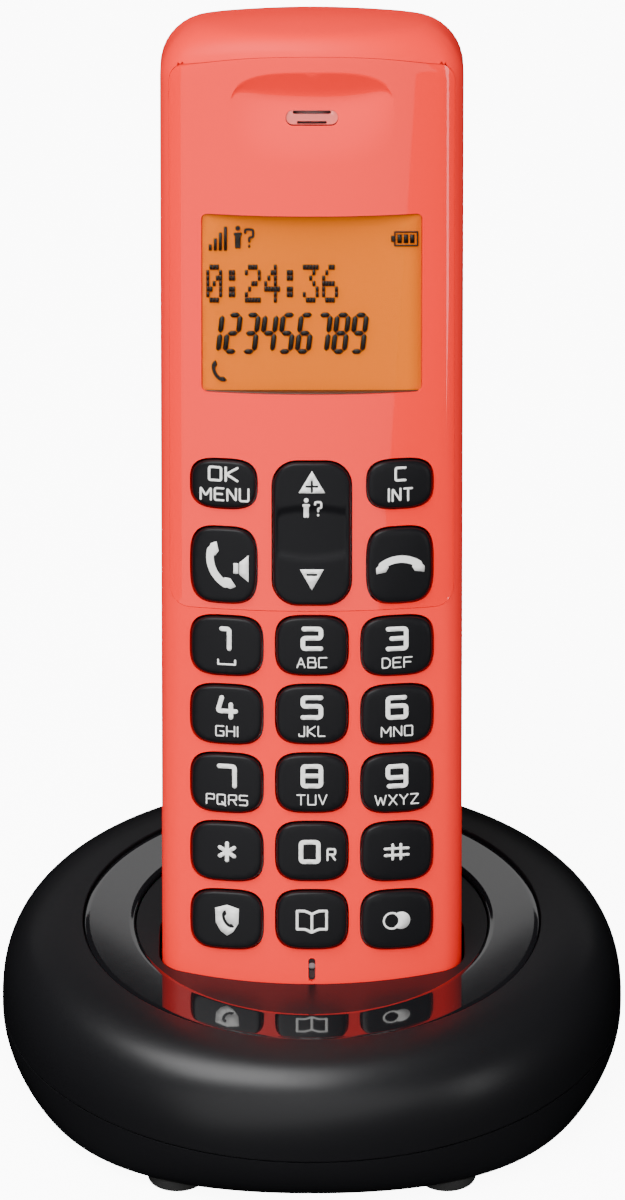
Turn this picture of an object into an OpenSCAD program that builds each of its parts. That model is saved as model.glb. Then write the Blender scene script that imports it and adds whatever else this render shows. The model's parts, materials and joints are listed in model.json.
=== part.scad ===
/* [Handset] */
// Width of the handset
hs_w = 48; // [46:0.5:50]
// Thickness of the handset, front to back
hs_t = 26.5; // [26:0.5:28]
// Length of the handset
hs_len = 165.5; // [165:0.5:168]
// Radius of the crowned front
front_r = 60; // [56:1:70]
// Radius of the crowned back
back_r = 48; // [46:1:55]
// Wall of the front and rear shells
hs_wall = 2; // [1.8:0.1:2]
// Thickness of the glossy front panel
panel_t = 1; // [0.9:0.1:1]
// How far the keys stand out of the front
key_proud = 0.9; // [0.5:0.1:1.2]
// Travel of a key
key_travel = 0.8; // [0.5:0.1:0.8]
// Clearance round each key
key_gap = 0.3; // [0.2:0.05:0.3]

/* [Base] */
// Diameter of the base
base_d = 100; // [99:0.5:104]
// Height of the base, feet included
base_h = 25.5; // [25.5:0.1:26]
// Wall of the base shells
base_wall = 2; // [1.6:0.1:2.2]
// Height of the rubber feet
foot_h = 2; // [1.8:0.1:2.2]
// Angle that the docked handset leans back
lean = 16.8; // [16:0.2:17]
// Clearance between the handset and its well
dock_gap = 0.5; // [0.4:0.05:0.6]

/* [Hidden] */
NUMBER_KEYS = ["key_1", "key_2", "key_3", "key_4", "key_5", "key_6", "key_7", "key_8",
               "key_9", "key_star", "key_0", "key_hash", "key_lock", "key_book", "key_redial"];

eps = 0.01;             // overshoot of a cut past the face it opens
fit_gap = 0.05;         // play between pieces that are fixed to each other
merge = 0.5;            // how far a post runs into the wall that carries it
face_y = -3;            // openings of the face are cut back to here

// colours
coral = [1.0, 0.36, 0.30];
black = [0.05, 0.05, 0.055];
board_green = [0.08, 0.35, 0.18];
steel = [0.72, 0.72, 0.74];
amber = [0.98, 0.64, 0.20];

// handset cross-section: four arcs a side, each inset keeps the same centres
edge_f = 5;             // radius of the front edges
edge_b = 8;             // radius of the rear edges
front_c = [0, front_r - hs_t / 2];
back_c = [0, hs_t / 2 - back_r];
edge_f_x = hs_w / 2 - edge_f;
edge_b_x = hs_w / 2 - edge_b;
edge_f_c = [edge_f_x, front_c.y - sqrt(pow(front_r - edge_f, 2) - pow(edge_f_x, 2))];
edge_b_c = [edge_b_x, back_c.y + sqrt(pow(back_r - edge_b, 2) - pow(edge_b_x, 2))];
front_ang = acos(edge_f_x / (front_r - edge_f));
back_ang = acos(edge_b_x / (back_r - edge_b));
split_y = 1.5;          // parting plane between the front and rear shells

// handset outline seen from the front
crown_r = 150;          // crown of the top end
top_edge = 8;           // radius of the top corners
foot_edge = 6;          // radius of the bottom corners
crown_c = [0, hs_len - crown_r];
top_edge_x = hs_w / 2 - top_edge;
top_edge_c = [top_edge_x, crown_c.y + sqrt(pow(crown_r - top_edge, 2) - pow(top_edge_x, 2))];
crown_ang = acos(top_edge_x / (crown_r - top_edge));

// handset outline seen from the side
top_front_edge = 4.5;   // radius where the top end meets the front
top_back_edge = 10;     // radius where the top end meets the back
foot_side_edge = 3;     // radius at the foot

// places along the handset, up from its foot
row_pitch = 11.25;      // spacing of the number rows
low_row_z = 20.4;       // bottom row of keys
talk_z = 78.2;          // talk and end keys
nav_z = 83.7;           // rocker
ok_z = 91.4;            // OK and clear keys
panel_z0 = 71;          // lower edge of the glossy panel
panel_z1 = 161.3;       // upper edge of the glossy panel, at the middle
panel_w = 45;
panel_r = 5;            // its corners
panel_crown = 120;      // arc of its upper edge
lcd_z = 120.5;          // centre of the display window
lcd_w = 35;
lcd_h = 28.8;
window_r = 1.5;         // corners of the display window
window_play = 0.4;      // play of the window in the front shell
window_d0 = 0.5;        // the window's two faces, behind the handset's face
window_d1 = 1.5;
lcd_y = -6.5;           // middle of the display module
lcd_size = [37.6, 2.7, 33];
holder_y = -5.8;        // middle of its holder
holder_t = 2.2;
holder_wall = 1.3;
ear_z = 150.7;          // centre of the earpiece scoop
mic_z = 12;             // centre of the microphone slot
mic_w = 1.1;
mic_h = 3.9;

// keys
key_w = 11.2;           // number keys
key_h = 9.4;
key_r = 3.5;
col_x = 13.55;          // spacing of the number columns
side_key_w = 10.2;      // OK, clear, talk and end
side_key_x = 13.95;
ok_h = 7.7;
talk_h = 12.1;
nav_w = 12.2;
nav_h = 23.1;
nav_r = 4.2;
side_drop = 0.35;       // the side columns sit this much lower than the middle one
flange_out = 0.55;      // how far a key's flange stands out past the key
flange_t = 0.8;
mat_front = hs_wall + fit_gap + flange_t + key_travel + 0.1;
mat_back_y = -4.65;     // flat rear of the keypad mat
mat_z0 = 14.9;
mat_z1 = 96.6;
mat_w = 40.8;
dome_r = 2.6;           // hollow under each key for its contact dome
dome_h = 1.4;
nav_dome = 7;           // the rocker's two domes, from its middle
rocker_drop = 0.75;     // depth of the rocker's flange behind the wall
rocker_t = 0.55;        // thickness of that flange
pivot_y = -10.2;        // axis that the rocker tilts on
pivot_r = 0.4;
pivot_len = 14.8;
pcb_y = -4.55;          // front face of the handset board
pcb_t = 1.2;
pcb_w = 41.2;
pcb_z0 = 8;
pcb_z1 = 155;
pcb_chamfer = 6;        // its top corners

// where the docked handset's foot stands in the base
dock_y = -8.4;
dock_z = 11.1;

// points of an arc round c, from angle a0 to a1
function arc(c, r, a0, a1, n) =
  [for (i = [0:n]) let (a = a0 + (a1 - a0) * i / n) [c.x + r * cos(a), c.y + r * sin(a)]];
function mirrored(points) = [for (i = [len(points) - 1:-1:0]) [-points[i].x, points[i].y]];

// right half of the cross-section, inset by d, from the front middle to the back middle
function half_section(d) = concat(
  arc(front_c, front_r - d, -90, -front_ang, 6),
  arc(edge_f_c, edge_f - d, -front_ang, 0, 5),
  arc(edge_b_c, edge_b - d, 0, back_ang, 6),
  arc(back_c, back_r - d, back_ang, 90, 6));

// right half of the front outline, inset by d, from the foot to the crown
function half_outline(d) = concat(
  arc([hs_w / 2 - foot_edge, foot_edge], foot_edge - d, -90, 0, 6),
  arc(top_edge_c, top_edge - d, 0, crown_ang, 7),
  arc(crown_c, crown_r - d, crown_ang, 90, 5));

// side outline, inset by d
function side_outline(d) = concat(
  arc([-hs_t / 2 + foot_side_edge, foot_side_edge], max(foot_side_edge - d, 0.5), -90, -180, 4),
  arc([-hs_t / 2 + top_front_edge, hs_len - top_front_edge], max(top_front_edge - d, 0.5),
      180, 90, 5),
  arc([hs_t / 2 - top_back_edge, hs_len - top_back_edge], top_back_edge - d, 90, 0, 8),
  arc([hs_t / 2 - foot_side_edge, foot_side_edge], max(foot_side_edge - d, 0.5), 0, -90, 4));

module section(d) {
  right = half_section(d);
  polygon(concat(right, mirrored(right)));
}

module along_handset(z0, z1) {
  translate([0, 0, z0]) linear_extrude(z1 - z0) children();
}

// 2D children are drawn as seen from the front and cut through from y0 to y1
module through_face(y0, y1) {
  translate([0, y1, 0]) rotate([90, 0, 0]) linear_extrude(y1 - y0) children();
}

module handset_solid(d) {
  right = half_outline(d);
  intersection() {
    along_handset(d > 0 ? d : 0, hs_len + 1) section(d);
    through_face(-hs_t, hs_t) polygon(concat(right, mirrored(right)));
    rotate([90, 0, 90]) translate([0, 0, -hs_w]) linear_extrude(2 * hs_w) polygon(side_outline(d));
  }
}

// slice of the handset between two depths behind its face
module face_layer(d0, d1, z0, z1) {
  intersection() {
    along_handset(z0, z1) difference() { section(d0); section(d1); }
    translate([-hs_w, -hs_t, z0 - 1]) cube([2 * hs_w, hs_t, z1 - z0 + 2]);
  }
}

module rounded(w, h, r) {
  square([w - 2 * r, h], center = true);
  square([w, h - 2 * r], center = true);
  for (x = [-1, 1], y = [-1, 1])
    translate([x * (w / 2 - r), y * (h / 2 - r)]) circle(r = r, $fn = 48);
}

module docked() {
  translate([0, dock_y, dock_z]) rotate([-lean, 0, 0]) children();
}

// where each key sits, and its size: [name, x, z, w, h]
KEYS = concat(
  [["key_ok", -side_key_x, ok_z, side_key_w, ok_h],
   ["key_clear", side_key_x, ok_z, side_key_w, ok_h],
   ["key_talk", -side_key_x, talk_z, side_key_w, talk_h],
   ["key_end", side_key_x, talk_z, side_key_w, talk_h]],
  [for (i = [0:14]) [NUMBER_KEYS[i], (i % 3 - 1) * col_x,
                     low_row_z + (4 - floor(i / 3)) * row_pitch - abs(i % 3 - 1) * side_drop,
                     key_w, key_h]]);

module key_hole(k, grow) {
  translate([k[1], k[2]]) rounded(k[3] + 2 * grow, k[4] + 2 * grow, key_r + grow);
}

module nav_hole(grow) {
  translate([0, nav_z]) rounded(nav_w + 2 * grow, nav_h + 2 * grow, nav_r + grow);
}

module all_key_holes() {
  for (k = KEYS) key_hole(k, key_gap);
  nav_hole(key_gap);
}

module window_outline(grow) {
  translate([0, lcd_z]) rounded(lcd_w + 2 * grow, lcd_h + 2 * grow, window_r + grow);
}

// front panel seen from the front
module panel_outline(grow) {
  intersection() {
    translate([0, (panel_z0 + panel_z1) / 2])
      rounded(panel_w + 2 * grow, panel_z1 - panel_z0 + 2 * grow, panel_r + grow);
    translate([0, panel_z1 - panel_crown]) circle(r = panel_crown + grow, $fn = 200);
  }
}

// earpiece scoop: a dished oblong
scoop_w = 26;
scoop_h = 14.4;
scoop_r = 17;           // radius of the dish
scoop_depth = 1.9;
scoop_edge = 5;         // corners of its outline
pan_back = 3.2;         // how deep the panel reaches behind the scoop
pan_wall = 1;           // how far it reaches past the scoop's outline
slot_w = 8.3;
slot_h = 2.4;

module scoop_outline(grow) {
  translate([0, ear_z]) rounded(scoop_w + 2 * grow, scoop_h + 2 * grow, scoop_edge + grow);
}

module slot_outline() {
  translate([0, ear_z]) rounded(slot_w, slot_h, slot_h / 2 - fit_gap);
}

// screw posts of the handset: [x, z]
posts = [[-17, 10.6], [17, 10.6], [-17, 99.6], [17, 99.6]];
post_r = 2.2;
rear_post_r = 3;
screw_r = 0.9;
bore_len = 7;           // depth of the screw bores in the front shell
screw_seat_y = 4.1;     // the screws' heads sit here
head_hole_r = 2.3;
pad_x = 8;              // charging pads
pad_y = -8;
pad_r = 2.2;
pad_len = 3.2;

// everything in front of the parting plane, or everything behind it
module half_space(front) {
  depth = front ? hs_t + split_y : hs_t;
  translate([-hs_w, front ? -hs_t : split_y, -5]) cube([2 * hs_w, depth, hs_len + 10]);
}

// a round bar through the face at [x, z], from y0 back to y1
module bar(x, z, y0, y1, r) {
  translate([x, y1, z]) rotate([90, 0, 0]) cylinder(h = y1 - y0, r = r, $fn = 40);
}

module front_shell() color(coral) docked() difference() {
  union() {
    difference() {
      intersection() { handset_solid(0); half_space(true); }
      handset_solid(hs_wall);
    }
    for (p = posts) intersection() {
      bar(p.x, p.y, split_y - hs_t, split_y, post_r);
      handset_solid(hs_wall - merge);
    }
  }
  intersection() {
    face_layer(-2, panel_t + fit_gap, panel_z0 - 1, hs_len + 1);
    through_face(-hs_t, 0) panel_outline(fit_gap);
  }
  through_face(-hs_t, face_y) all_key_holes();
  through_face(-hs_t, face_y) window_outline(window_play);
  through_face(-hs_t, face_y) scoop_outline(pan_wall + 0.1);
  through_face(-hs_t, face_y) translate([0, mic_z]) rounded(mic_w, mic_h, mic_w / 2 - fit_gap);
  for (p = posts) bar(p.x, p.y, split_y - bore_len, split_y + eps, screw_r);
  for (x = [-1, 1]) translate([x * pad_x, pad_y, -1]) cylinder(h = 5, r = pad_r + fit_gap, $fn = 40);
}

module front_panel() color(coral) docked() difference() {
  union() {
    intersection() {
      face_layer(0, panel_t, panel_z0 - 1, hs_len);
      through_face(-hs_t, 0) panel_outline(0);
    }
    intersection() {
      face_layer(panel_t - 0.1, pan_back, ear_z - scoop_h, ear_z + scoop_h);
      through_face(-hs_t, 0) scoop_outline(pan_wall);
    }
  }
  intersection() {
    translate([-hs_w, -hs_t / 2 + scoop_depth - scoop_r, ear_z]) rotate([0, 90, 0])
      cylinder(h = 2 * hs_w, r = scoop_r, $fn = 96);
    through_face(-hs_t, 0) scoop_outline(0);
  }
  through_face(-hs_t, face_y) all_key_holes();
  through_face(-hs_t, face_y) window_outline(0.1);
  through_face(-hs_t, face_y) slot_outline();
}

// the bar across the slot, which leaves a slit above it and one below
module earpiece_grille() color(coral) docked()
  through_face(-hs_t / 2 + scoop_depth + 0.15, -hs_t / 2 + pan_back - 0.1)
    translate([0, ear_z - fit_gap]) square([slot_w - 0.5, slot_h - 1.2], center = true);

module display_window() color("orange", 0.4) docked() intersection() {
  face_layer(window_d0, window_d1, lcd_z - lcd_h, lcd_z + lcd_h);
  through_face(-hs_t, 0) window_outline(0);
}

module lcd_module() color(amber) docked()
  translate([0, lcd_y, lcd_z]) cube(lcd_size, center = true);

module lcd_holder() color("white") docked() difference() {
  inner = [lcd_size.x + 0.2, 2 * holder_t, lcd_size.z + 0.2];
  translate([0, holder_y, lcd_z])
    cube([inner.x + 2 * holder_wall, holder_t, inner.z + 2 * holder_wall], center = true);
  translate([0, holder_y, lcd_z]) cube(inner, center = true);
}

module keypad_mat() color("gray") docked() difference() {
  intersection() {
    along_handset(mat_z0, mat_z1) section(mat_front);
    translate([-mat_w / 2, -hs_t, mat_z0]) cube([mat_w, hs_t + mat_back_y, mat_z1 - mat_z0]);
  }
  for (k = KEYS) bar(k[1], k[2], mat_back_y - dome_h, mat_back_y + eps, dome_r);
  for (z = [-nav_dome, nav_dome]) bar(0, nav_z + z, mat_back_y - dome_h, mat_back_y + eps, dome_r);
  through_face(-hs_t, -hs_t / 2 + hs_wall + 2.3) nav_hole(1.2);
}

module key_body(k) color(black) docked() {
  intersection() {
    face_layer(-key_proud, hs_wall + flange_t / 2, k[2] - k[4], k[2] + k[4]);
    through_face(-hs_t, 0) key_hole(k, 0);
  }
  intersection() {
    face_layer(hs_wall + fit_gap, hs_wall + fit_gap + flange_t, k[2] - k[4], k[2] + k[4]);
    through_face(-hs_t, 0) key_hole(k, flange_out);
  }
}

module key_nav() color(black) docked() {
  flange = hs_wall + rocker_drop;
  intersection() {
    face_layer(-key_proud, flange + 0.2, nav_z - nav_h, nav_z + nav_h);
    through_face(-hs_t, 0) nav_hole(0);
  }
  intersection() {
    face_layer(flange, flange + rocker_t, nav_z - nav_h, nav_z + nav_h);
    through_face(-hs_t, 0) nav_hole(flange_out);
  }
  translate([-pivot_len / 2, pivot_y, nav_z]) rotate([0, 90, 0])
    cylinder(h = pivot_len, r = pivot_r, $fn = 40);
}

// battery compartment and cover
cover_w = 34;
cover_z0 = 34;
cover_z1 = 94;
cover_t = 1.6;
cover_r = 4;
cover_play = 0.3;
rim_x = 19.6;           // half width of the rim that the cover rests on
tub_w = 26.4;
tub_z0 = 35.6;
tub_z1 = 92.4;
tub_wall = 1.3;
tub_front_y = -1.2;
tub_back_y = 9.2;
cell_r = 5.25;
cell_len = 43.5;        // without the nub
cell_x = 5.6;
cell_y = 5.5;
chamber_z0 = 37.6;      // between the plates
chamber_z1 = 90.4;
plate_t = 0.5;
nub_h = 0.95;
speaker_z = 128;
speaker_r = 10;
back_y = 4;             // openings of the back start here
grille_pitch = 2.4;

module cover_outline(grow) {
  translate([0, (cover_z0 + cover_z1) / 2])
    rounded(cover_w + 2 * grow, cover_z1 - cover_z0 + 2 * grow, cover_r + grow);
}

module back_layer(d0, d1, z0, z1) {
  intersection() {
    along_handset(z0, z1) difference() { section(d0); section(d1); }
    translate([-hs_w, back_y, z0 - 1]) cube([2 * hs_w, hs_t, z1 - z0 + 2]);
  }
}

module rear_shell() color(coral) docked() difference() {
  union() {
    difference() {
      intersection() { handset_solid(0); half_space(false); }
      handset_solid(hs_wall);
      through_face(back_y, hs_t) cover_outline(cover_play);
    }
    difference() {
      back_layer(cover_t + cover_play, 2 * cover_t, cover_z0 - 3, cover_z1 + 2);
      translate([-tub_w / 2 + 0.1, 0, tub_z0 + 0.1]) cube([tub_w - 0.2, hs_t, tub_z1 - tub_z0 - 0.2]);
      translate([-hs_w, 0, 0]) cube([hs_w - rim_x, hs_t, hs_len]);
      translate([rim_x, 0, 0]) cube([hs_w, hs_t, hs_len]);
    }
    translate([-tub_w / 2, tub_front_y, tub_z0]) cube([tub_w, tub_back_y - tub_front_y, tub_z1 - tub_z0]);
    for (p = posts) intersection() {
      bar(p.x, p.y, split_y + fit_gap, hs_t, rear_post_r);
      handset_solid(hs_wall - merge);
    }
  }
  translate([-tub_w / 2 + tub_wall, 0, tub_z0 + tub_wall])
    cube([tub_w - 2 * tub_wall, hs_t, tub_z1 - tub_z0 - 2 * tub_wall]);
  for (p = posts) {
    bar(p.x, p.y, 0, hs_t, screw_r + 0.2);
    bar(p.x, p.y, screw_seat_y, hs_t, head_hole_r);
  }
  for (i = [-3:3]) through_face(back_y, hs_t)
    translate([0, speaker_z + i * grille_pitch]) rounded(14 - abs(i) * 1.6, 1.1, 0.5);
}

module battery_cover() color(coral) docked() intersection() {
  back_layer(0, cover_t, cover_z0, cover_z1);
  through_face(back_y, hs_t) cover_outline(0);
}

module cell() {
  cylinder(h = cell_len, r = cell_r, $fn = 64);
  translate([0, 0, cell_len - eps]) cylinder(h = nub_h, r = 1.9, $fn = 32);
}

module battery_cells() color("seagreen") docked() {
  translate([-cell_x, cell_y, chamber_z1 - cell_len - 1]) cell();
  translate([cell_x, cell_y, chamber_z0 + cell_len + 1]) mirror([0, 0, 1]) cell();
}

// a helical spring of round wire, standing on the origin
module spring(h, r, wire, turns) {
  sides = 6;
  per_turn = 16;
  n = turns * per_turn;
  points = [for (i = [0:n], j = [0:sides - 1])
    let (a = 360 * i / per_turn, b = 360 * j / sides, q = r + wire * cos(b))
    [q * cos(a), q * sin(a), wire + (h - 2 * wire) * i / n + wire * sin(b)]];
  walls = [for (i = [0:n - 1], j = [0:sides - 1]) let (k = (j + 1) % sides)
    [i * sides + j, (i + 1) * sides + j, (i + 1) * sides + k, i * sides + k]];
  polyhedron(points, concat([[for (j = [0:sides - 1]) j]], walls,
                            [[for (j = [sides - 1:-1:0]) n * sides + j]]), convexity = 8);
}

spring_r = 3;
spring_wire = 0.4;
spring_h = chamber_z1 - chamber_z0 - cell_len - 1.1;

module battery_springs() color(steel) docked() {
  translate([-cell_x, cell_y, chamber_z0 + fit_gap]) spring(spring_h, spring_r, spring_wire, 4);
  translate([cell_x, cell_y, chamber_z1 - fit_gap - spring_h]) spring(spring_h, spring_r, spring_wire, 4);
}

module battery_plates() color(steel) docked() {
  for (x = [-1, 1]) translate([x * cell_x - 4.5, 1.5, chamber_z0 - plate_t]) cube([9, 7.4, plate_t]);
  translate([-cell_x - 4.5, 1.5, chamber_z1]) cube([2 * cell_x + 9, 7.4, plate_t]);
}

module handset_pcb() color(board_green) docked() difference() {
  translate([-pcb_w / 2, pcb_y, pcb_z0]) cube([pcb_w, pcb_t, pcb_z1 - pcb_z0]);
  for (p = posts) bar(p.x, p.y, pcb_y - 2, 0, post_r + 0.3);
  for (x = [-1, 1]) translate([x * pcb_w / 2, pcb_y, pcb_z1]) rotate([0, 45, 0])
    cube([pcb_chamfer, 4 * pcb_t, pcb_chamfer], center = true);
}

can_t = 0.3;            // sheet metal of the shield cans

// an open box of sheet metal, size [x, y, z], open towards the board at side 1 = y, 2 = z
module can(size, side) difference() {
  cube(size);
  if (side == 1) translate([can_t, -1, can_t])
    cube([size.x - 2 * can_t, size.y + 1 - can_t, size.z - 2 * can_t]);
  else translate([can_t, can_t, -1])
    cube([size.x - 2 * can_t, size.y - 2 * can_t, size.z + 1 - can_t]);
}

module handset_rf_shield() color(steel) docked()
  translate([-13, pcb_y + pcb_t + fit_gap, 98]) can([26, 2.4, 17], 1);

receiver_y = -8.5;
receiver_r = 7.5;
receiver_t = 3.6;
seal_t = 0.85;

module earpiece_receiver() color(steel) docked()
  translate([0, receiver_y, ear_z]) rotate([-90, 0, 0])
    cylinder(h = receiver_t, r = receiver_r, $fn = 64);

module earpiece_seal() color("dimgray") docked()
  translate([0, receiver_y - seal_t - fit_gap, ear_z]) rotate([-90, 0, 0]) difference() {
    cylinder(h = seal_t, r = receiver_r - 0.5, $fn = 64);
    translate([0, 0, -1]) cylinder(h = 3, r = receiver_r - 2.5, $fn = 64);
  }

mic_front_y = -11.1;
mic_r = 2;
mic_t = 2.2;
boot_r = 2.55;
boot_t = 3.4;
boot_front = 0.7;

module microphone_boot() color("dimgray") docked()
  translate([0, mic_front_y, mic_z]) rotate([-90, 0, 0]) difference() {
    cylinder(h = boot_t, r = boot_r, $fn = 40);
    translate([0, 0, boot_front]) cylinder(h = boot_t, r = mic_r + fit_gap, $fn = 40);
    translate([0, 0, -1]) cylinder(h = 3, r = 0.6, $fn = 32);
  }

module microphone() color(steel) docked()
  translate([0, mic_front_y + boot_front + fit_gap, mic_z]) rotate([-90, 0, 0])
    cylinder(h = mic_t, r = mic_r, $fn = 40);

module loudspeaker() color(black) docked()
  translate([0, 3.2, speaker_z]) rotate([-90, 0, 0]) {
    cylinder(h = 2.4, r = 6, $fn = 48);
    translate([0, 0, 2.3]) cylinder(h = 2.6, r = speaker_r, $fn = 64);
  }

module handset_contacts() color("gold") docked()
  for (x = [-1, 1]) translate([x * pad_x, pad_y, 0]) cylinder(h = pad_len, r = pad_r, $fn = 40);

module handset_screws() color(steel) docked()
  for (p = posts) translate([p.x, screw_seat_y + fit_gap, p.y]) {
    rotate([90, 0, 0]) cylinder(h = 8, r = screw_r - fit_gap, $fn = 32);
    rotate([-90, 0, 0]) difference() {
      cylinder(h = 1.4, r = 1.9, $fn = 40);
      for (a = [0, 90]) rotate(a) translate([-1.1, -0.25, 0.8]) cube([2.2, 0.5, 2]);
    }
  }

// base, up from the surface that it stands on
base_r = base_d / 2;
seam_z = 10.5;          // seam between the two base shells
seam_gap = 0.15;        // height of that seam
disc_r = 36.7;          // outer radius of the cradle disc
disc_gap = 0.2;         // gap round the disc and round the collar
ring_r = 28.3;          // outer radius of the cup's collar
ring_z = base_h - 1;    // top of the collar
shelf_r0 = 25;          // shelf inside the upper shell that carries the disc and the cup
shelf_r1 = 42;
shelf_z0 = 21.6;
shelf_z1 = base_h - 2.1;
floor_z = foot_h + 1.8;
board_z = 5.4;
board_t = 1.6;
board_top = board_z + board_t;
well_floor = -0.3;      // below the docked handset's foot
cup_wall = 1.4;
base_posts = [for (x = [-1, 1], y = [-1, 1]) [x * 32, y * 24]];
base_post_r = 3;
foot_x = 21.5;
foot_y = 37.5;
foot_r = 4.7;
foot_inset = 0.55;      // how deep a foot sits in the lower shell
socket_x = 16;
socket_y = 31;
socket_w = 13;
socket_len = 14;
socket_top = 16.4;
mouth_h = 6;            // height of each socket's mouth
line_mouth_w = 9.8;
power_mouth_w = 8;
latch_w = 4;            // notch above a mouth for the plug's latch
button_z = 14.5;
button_r = 2.8;

// rounded corner that is fuller than a circle, from [r1, z0] up or down to [r0, z1]
function full_corner(r0, r1, z0, z1, n, power) =
  [for (i = [0:n]) let (t = 90 * i / n)
    [r0 + (r1 - r0) * pow(cos(t), 2 / power), z0 + (z1 - z0) * pow(sin(t), 2 / power)]];

module socket_cut(x) {
  translate([x - socket_w / 2 - 0.25, socket_y + 5, board_top - 0.3])
    cube([socket_w + 0.5, 30, socket_top - board_top + 0.6]);
}

module base_upper_shell() color(black) difference() {
  union() {
    rotate_extrude($fn = 128) difference() {
      polygon(concat([[disc_r + disc_gap, seam_z + seam_gap]],
                     full_corner(disc_r + disc_gap, base_r, seam_z + seam_gap, base_h, 14, 2.6)));
      polygon(concat([[0, 0], [base_r - base_wall, 0]],
                     full_corner(disc_r + 1, base_r - base_wall, seam_z, base_h - base_wall, 12, 2.6),
                     [[0, base_h - base_wall]]));
    }
    difference() {
      rotate_extrude($fn = 128) translate([shelf_r0, shelf_z0])
        square([shelf_r1 - shelf_r0, shelf_z1 - shelf_z0]);
      docked() along_handset(0, hs_t + base_h) section(-dock_gap - cup_wall - fit_gap);
    }
    for (p = base_posts) translate([p.x, p.y, floor_z + 0.2])
      cylinder(h = shelf_z0 - floor_z, r = base_post_r, $fn = 40);
  }
  for (p = base_posts) translate([p.x, p.y, 0]) cylinder(h = 15, r = 1.25, $fn = 32);
  for (x = [-1, 1]) socket_cut(x * socket_x);
  translate([0, 40, button_z]) rotate([-90, 0, 0]) cylinder(h = 20, r = button_r + 0.2, $fn = 48);
}

module base_lower_shell() color(black) difference() {
  rotate_extrude($fn = 128) difference() {
    polygon(concat([[0, seam_z]], full_corner(44, base_r, seam_z, foot_h, 10, 2.2), [[0, foot_h]]));
    polygon(concat([[0, seam_z + 1]], [[base_r - base_wall, seam_z + 1]],
                   full_corner(43, base_r - base_wall, seam_z, floor_z, 8, 2.2), [[0, floor_z]]));
  }
  for (p = base_posts) translate([p.x, p.y, 0]) {
    cylinder(h = 10, r = 1.4, $fn = 32);
    cylinder(h = foot_h + 1, r = 2.4, $fn = 40);
  }
  for (x = [-1, 1], y = [-1, 1]) translate([x * foot_x, y * foot_y, 0])
    cylinder(h = foot_h + foot_inset + fit_gap, r = foot_r + fit_gap, $fn = 64);
  for (x = [-1, 1]) socket_cut(x * socket_x);
}

module cradle_disc() color(black) rotate_extrude($fn = 128)
  polygon([[ring_r + disc_gap, shelf_z1 + fit_gap], [disc_r, shelf_z1 + fit_gap],
           [disc_r, base_h - 0.1], [ring_r + disc_gap, base_h - 0.8]]);

module cradle_cup() color(black) difference() {
  union() {
    translate([0, 0, shelf_z1 + fit_gap]) cylinder(h = ring_z - shelf_z1 - fit_gap, r = ring_r, $fn = 128);
    intersection() {
      docked() along_handset(well_floor - cup_wall, 40) section(-dock_gap - cup_wall);
      translate([-base_r, -base_r, 0]) cube([base_d, base_d, ring_z - eps]);
    }
  }
  docked() along_handset(well_floor, 60) section(-dock_gap);
  docked() for (x = [-1, 1]) translate([x * pad_x, pad_y, -5]) cylinder(h = 10, r = 1.2, $fn = 32);
}

pin_r = 0.8;
collar_r = 1.25;
pin_tip = -0.05;        // just under the handset's pad
collar_z0 = -3.6;
collar_z1 = -3;
block_z0 = -5.2;
pin_travel = 0.8;

module contact_block() color("dimgray") docked() difference() {
  translate([-12, pad_y - 2.5, block_z0]) cube([24, 5, well_floor - cup_wall - fit_gap - block_z0]);
  for (x = [-1, 1]) translate([x * pad_x, pad_y, 0]) {
    translate([0, 0, -10]) cylinder(h = 20, r = pin_r + 0.07, $fn = 32);
    translate([0, 0, collar_z0 - pin_travel - 0.2])
      cylinder(h = collar_z1 - collar_z0 + pin_travel + 0.3, r = collar_r + 0.1, $fn = 32);
  }
}

module charge_pin(side) color("gold") docked() translate([side * pad_x, pad_y, 0]) {
  translate([0, 0, pin_tip - pin_r]) sphere(r = pin_r, $fn = 48);
  translate([0, 0, collar_z0 - 0.9]) cylinder(h = pin_tip - pin_r - collar_z0 + 0.9, r = pin_r, $fn = 48);
  translate([0, 0, collar_z0]) cylinder(h = collar_z1 - collar_z0, r = collar_r, $fn = 48);
}
module charge_pin_left() charge_pin(-1);
module charge_pin_right() charge_pin(1);

module base_feet() color("dimgray")
  for (x = [-1, 1], y = [-1, 1]) translate([x * foot_x, y * foot_y, 0])
    cylinder(h = foot_h + foot_inset, r = foot_r, $fn = 64);

module base_screws() color(steel)
  for (p = base_posts) translate([p.x, p.y, 0]) {
    translate([0, 0, foot_h + 1 - fit_gap]) cylinder(h = 10, r = 1.2, $fn = 32);
    difference() {
      translate([0, 0, foot_h + fit_gap]) cylinder(h = 1 - 2 * fit_gap, r = 2.3, $fn = 40);
      for (a = [0, 90]) rotate(a) translate([-1.3, -0.3, 0]) cube([2.6, 0.6, foot_h + 0.6]);
    }
  }

module base_pcb() color(board_green) translate([0, 0, board_z]) difference() {
  cylinder(h = board_t, r = 44, $fn = 128);
  translate([-27, -5, -1]) cube([54, 13.5, 5]);
  for (p = base_posts) translate([p.x, p.y, -1]) cylinder(h = 5, r = 3.4, $fn = 40);
}

module base_rf_shield() color(steel)
  translate([-9, 13, board_top + fit_gap]) can([18, 17, 3.4], 2);

// a modular socket whose mouth faces the rear
module socket(x, mouth_w) difference() {
  translate([x - socket_w / 2, socket_y, board_top + fit_gap])
    cube([socket_w, socket_len, socket_top - board_top - fit_gap]);
  translate([x - mouth_w / 2, socket_y + 3, board_top + 1.5]) cube([mouth_w, socket_len, mouth_h]);
  translate([x - latch_w / 2, socket_y + 7, board_top + 1.4 + mouth_h]) cube([latch_w, socket_len, 1.2]);
}
module line_socket() color("dimgray") socket(-socket_x, line_mouth_w);
module power_socket() color("gray") socket(socket_x, power_mouth_w);

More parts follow.
